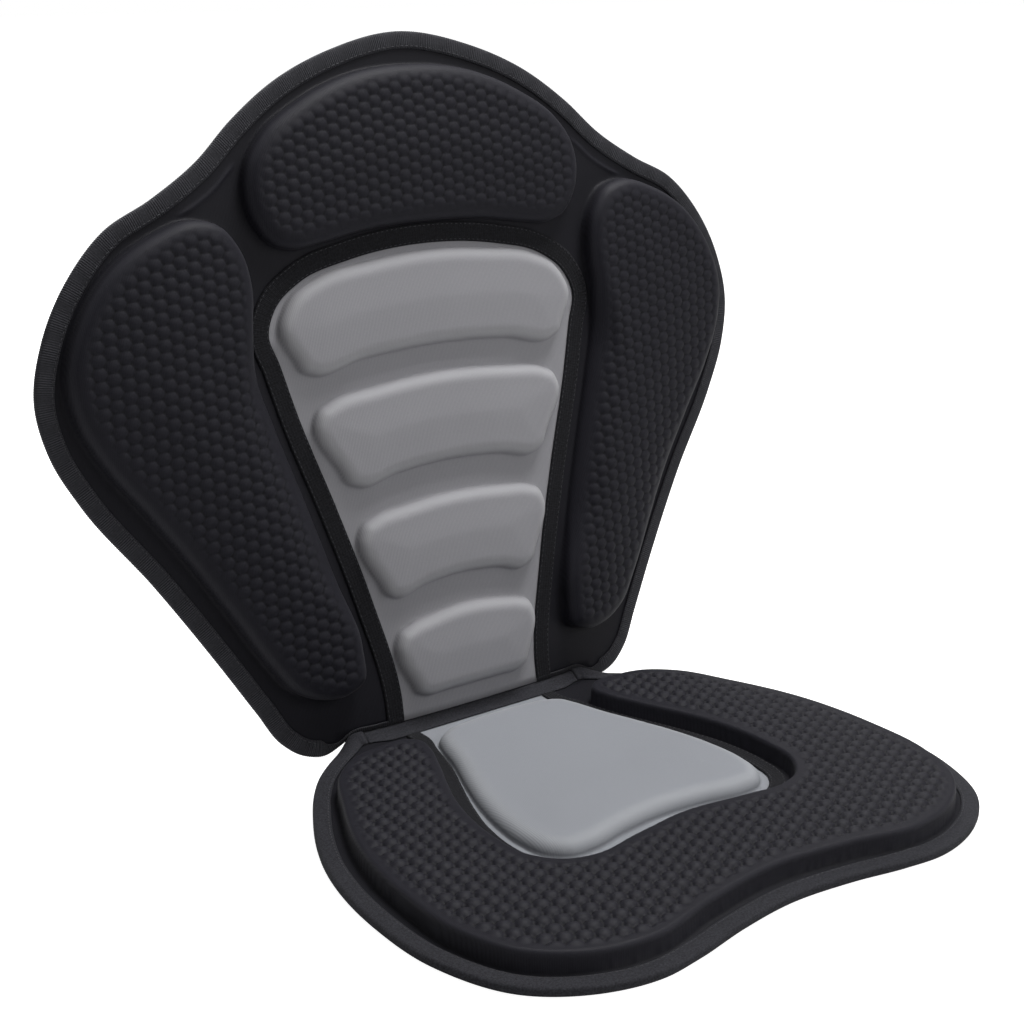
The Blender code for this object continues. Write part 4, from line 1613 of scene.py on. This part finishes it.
    def build_tapes(self, finishes: Finishes) -> None:
        """Build the ribbed edge binding, the seam tape and their stitches.

        Args:
            finishes: the seat's cloths.
        """
        outline = self.outline(self.window_foot_share * self.plan.width / 2 + CLEARANCE)
        binding = Tape("backrest_binding", self.plan, outline,
                       binding_section(self.binding_width), self.rib / POINTS_PER_RIB,
                       rib_pitch=self.rib, rib_height=self.rib_height,
                       end_width=self.binding_foot)
        dressed(binding.build(finishes.ribbed), "backrest", "black_woven_tape",
                "backrest_edge_binding")
        window = self.window()
        tape = seam_tape("backrest_seam_tape", self.plan, window, self.tape_width, cords=6)
        dressed(tape.build(finishes.seam), "backrest", "black_woven_tape",
                "backrest_centre_tape")
        sewn = inset(evenly_spaced(outline, LINE_STEP), self.binding_width - BINDING_STITCHES)
        bare = round(self.stitch_start / LINE_STEP)
        rows = [(sewn[bare:-bare], TAPE_TOP + self.rib_stitch_lift),
                *seam_rows(window, self.tape_width)]
        stitches = StitchRow().build("backrest_stitching", self.plan, rows, finishes.thread)
        dressed(stitches, "backrest", "black_woven_tape")

    def build_rear(self, finishes: Finishes) -> None:
        """Build the plain cloth on the back of the backrest.

        Args:
            finishes: the seat's cloths.
        """
        side = self.window_foot_share * self.plan.width / 2
        cover = footed(inset(self.outline(side), self.binding_width + CLEARANCE),
                       HINGE_REACH + CLEARANCE)
        sheet = Moulding("backrest_rear_cloth", self.plan, cover, 0.0, COVER_THICKNESS,
                         grid=SHEET_GRID).build(finishes.plain)
        dressed(sheet, "backrest", "plain_black_cloth", "backrest_rear_cover")


# The hinge

@dataclass
class ClothHinge:
    """The folded tape that joins the panels: a roll on the axis and a lap over the seat.

    The lap's top is drawn by shares of its reach, each with a height over the axis in
    millimetres, and near the roll it is drawn back by a share of the roll's radius. The roll's
    section turns by steps in degrees, and is squarer where it rises behind the axis.
    """

    length: float = HINGE_LENGTH
    radius: float = HINGE_RADIUS
    step: float = 0.0016
    turn: float = -8.0
    last_turn: float = -325.0
    squareness: int = 6
    lap: float = 0.0111
    lap_at_ends: float = 0.0066
    lap_narrows: float = 0.016
    lap_top: tuple = ((0.22, 1.95), (0.47, 1.25), (0.76, 0.85), (0.94, 0.66))
    lap_draw: float = 0.12
    tip_height: float = 0.0004
    tip_slant: float = 0.0002
    seam_share: float = 1.1

    def section(self, lap: float) -> np.ndarray:
        """Draw the tape's section as a loop of places in front of and above the axis.

        Args:
            lap: how far in front of the axis the tape reaches over the seat.

        Returns:
            The loop, from the top of the lap around the roll to the underside of the lap.
        """
        turns = np.radians(np.arange(self.turn, self.last_turn, self.turn))
        cosines, sines = np.cos(turns), np.sin(turns)
        squared = (cosines ** self.squareness + sines ** self.squareness) ** (-1 / self.squareness)
        reach = self.radius * np.where((cosines < 0) & (sines > 0), squared, 1.0)
        roll = np.column_stack([cosines * reach, sines * reach])
        shares, heights = np.array(self.lap_top).T
        top = np.column_stack([self.radius + (lap - self.radius) * shares, heights / MILLIMETRES])
        top[:, 0] -= self.radius * self.lap_draw * (1.0 - shares)
        low = TAPE_UNDERSIDE - HINGE_HEIGHT
        tip = [(lap, self.tip_height), (lap, 0.0), (lap - self.tip_slant, low),
               (self.radius * self.seam_share, low)]
        return np.vstack([roll, top, tip])

    def build(self, finishes: Finishes) -> None:
        """Build the tape along the hinge axis.

        Args:
            finishes: the seat's cloths.
        """
        half = self.length / 2
        x = evenly_spaced(np.array([(-half, 0.0), (half, 0.0)]), self.step)[:, 0]
        narrowing = eased(np.abs(x), half - self.lap_narrows, half)
        laps = self.lap + (self.lap_at_ends - self.lap) * narrowing
        axis_y, axis_z = BackPlan().axis
        verts, cloth = [], []
        for place, lap in zip(x, laps):
            loop = self.section(lap)
            verts.append(np.column_stack([
                np.full(len(loop), place), axis_y - loop[:, 0], axis_z + loop[:, 1],
            ]))
            run = np.cumsum(np.linalg.norm(np.diff(loop, axis=0, prepend=loop[:1]), axis=1))
            cloth.append(np.column_stack([np.full(len(loop), place), run]))
        faces = swept_faces(len(x), len(verts[0]))
        roll = make_piece("hinge_roll", np.vstack(verts), faces, np.vstack(cloth),
                          finishes.twill)
        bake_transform(roll)
        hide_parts("hinge_tape")
        LOG.info("hinge_roll: bends between seat and backrest")


# The studio

@dataclass(frozen=True)
class Softbox:
    """One soft light: where it hangs, what it looks at, how large and how strong it is."""

    name: str
    place: tuple[float, float, float]
    aim: tuple[float, float, float]
    size: tuple[float, float]
    power: float

    def build(self) -> None:
        """Hang the light."""
        data = bpy.data.lights.new(self.name, "AREA")
        data.shape = "RECTANGLE"
        data.size, data.size_y = self.size
        data.energy = self.power
        light = bpy.data.objects.new(self.name, data)
        light.location = self.place
        towards = Vector(self.aim) - Vector(self.place)
        light.rotation_euler = towards.to_track_quat("-Z", "Y").to_euler()
        bpy.context.collection.objects.link(light)


@dataclass
class Studio:
    """The pale floor, the soft lights and the camera at the photograph's angle."""

    camera_place: tuple[float, float, float] = (-0.5906, -0.6964, 0.4723)
    camera_turn: tuple[float, float, float] = (math.radians(72.06), 0.0, math.radians(-36.32))
    lens_mm: float = 61.15
    sensor_mm: float = 36.0
    floor_reach: float = 12.0
    floor_drop: float = 0.0004
    floor_seen: float = 0.95
    floor_tone: float = 0.6
    floor_roughness: float = 0.9
    floor_gloss: float = 0.1
    white: float = 1.0
    ambient: float = 0.22
    lights: tuple = (
        Softbox("top_light", (0.45, 0.05, 1.8), (0.0, 0.05, 0.15), (0.8, 0.7), 30.0),
        Softbox("rim_light", (0.5, 1.5, 1.2), (0.0, 0.1, 0.2), (1.4, 0.6), 20.0),
        Softbox("front_light", (0.9, -1.7, 1.3), (0.0, 0.1, 0.2), (1.2, 1.0), 11.5),
    )

    def build(self) -> None:
        """Build the camera, the floor, the lights and the surroundings."""
        self.build_camera()
        self.build_floor()
        self.build_world()
        for light in self.lights:
            light.build()
        bpy.context.scene.view_settings.view_transform = "Standard"

    def build_camera(self) -> None:
        """Set up the camera at the photograph's place and angle."""
        data = bpy.data.cameras.new("studio_camera")
        data.lens = self.lens_mm
        data.sensor_width = self.sensor_mm
        camera = bpy.data.objects.new("studio_camera", data)
        camera.location = self.camera_place
        camera.rotation_euler = self.camera_turn
        bpy.context.collection.objects.link(camera)
        bpy.context.scene.camera = camera

    def build_floor(self) -> None:
        """Lay the wide pale floor."""
        reach = self.floor_reach
        corners = [(-reach, -reach, 0.0), (reach, -reach, 0.0), (reach, reach, 0.0),
                   (-reach, reach, 0.0)]
        mesh = bpy.data.meshes.new("studio_floor")
        mesh.from_pydata(corners, [], [(0, 1, 2, 3)])
        material = bpy.data.materials.new("pale_floor")
        material.use_nodes = True
        shader = material.node_tree.nodes["Principled BSDF"]
        tree = Tree(material.node_tree)
        seen = tree.node("ShaderNodeLightPath").outputs["Is Camera Ray"]
        glow = (self.floor_seen, self.floor_seen, self.floor_seen, 1.0)
        tree.link(tree.mix(seen, (0.0, 0.0, 0.0, 1.0), glow), shader.inputs["Emission Color"])
        shader.inputs["Emission Strength"].default_value = 1.0
        tone = (self.floor_tone, self.floor_tone, self.floor_tone, 1.0)
        shader.inputs["Base Color"].default_value = tone
        shader.inputs["Roughness"].default_value = self.floor_roughness
        shader.inputs["Specular IOR Level"].default_value = self.floor_gloss
        mesh.materials.append(material)
        floor = bpy.data.objects.new("studio_floor", mesh)
        floor.location = (0.0, 0.0, -self.floor_drop)
        bpy.context.collection.objects.link(floor)

    def build_world(self) -> None:
        """Surround the scene with soft white light, and show it as plain white."""
        world = bpy.data.worlds.new("studio_world")
        world.use_nodes = True
        tree = Tree(world.node_tree)
        background = world.node_tree.nodes["Background"]
        background.inputs["Color"].default_value = (1.0, 1.0, 1.0, 1.0)
        seen = tree.node("ShaderNodeLightPath").outputs["Is Camera Ray"]
        strength = tree.math("MULTIPLY_ADD", seen, self.white - self.ambient, self.ambient)
        tree.link(strength, background.inputs["Strength"])
        bpy.context.scene.world = world


def main() -> None:
    """Build the studio and every piece of the seat."""
    logging.basicConfig(level=logging.INFO, format="%(name)s: %(message)s")
    Studio().build()
    finishes = Finishes()
    SeatBase().build(finishes)
    Backrest().build(finishes)
    ClothHinge().build(finishes)


if __name__ == "__main__":
    main()
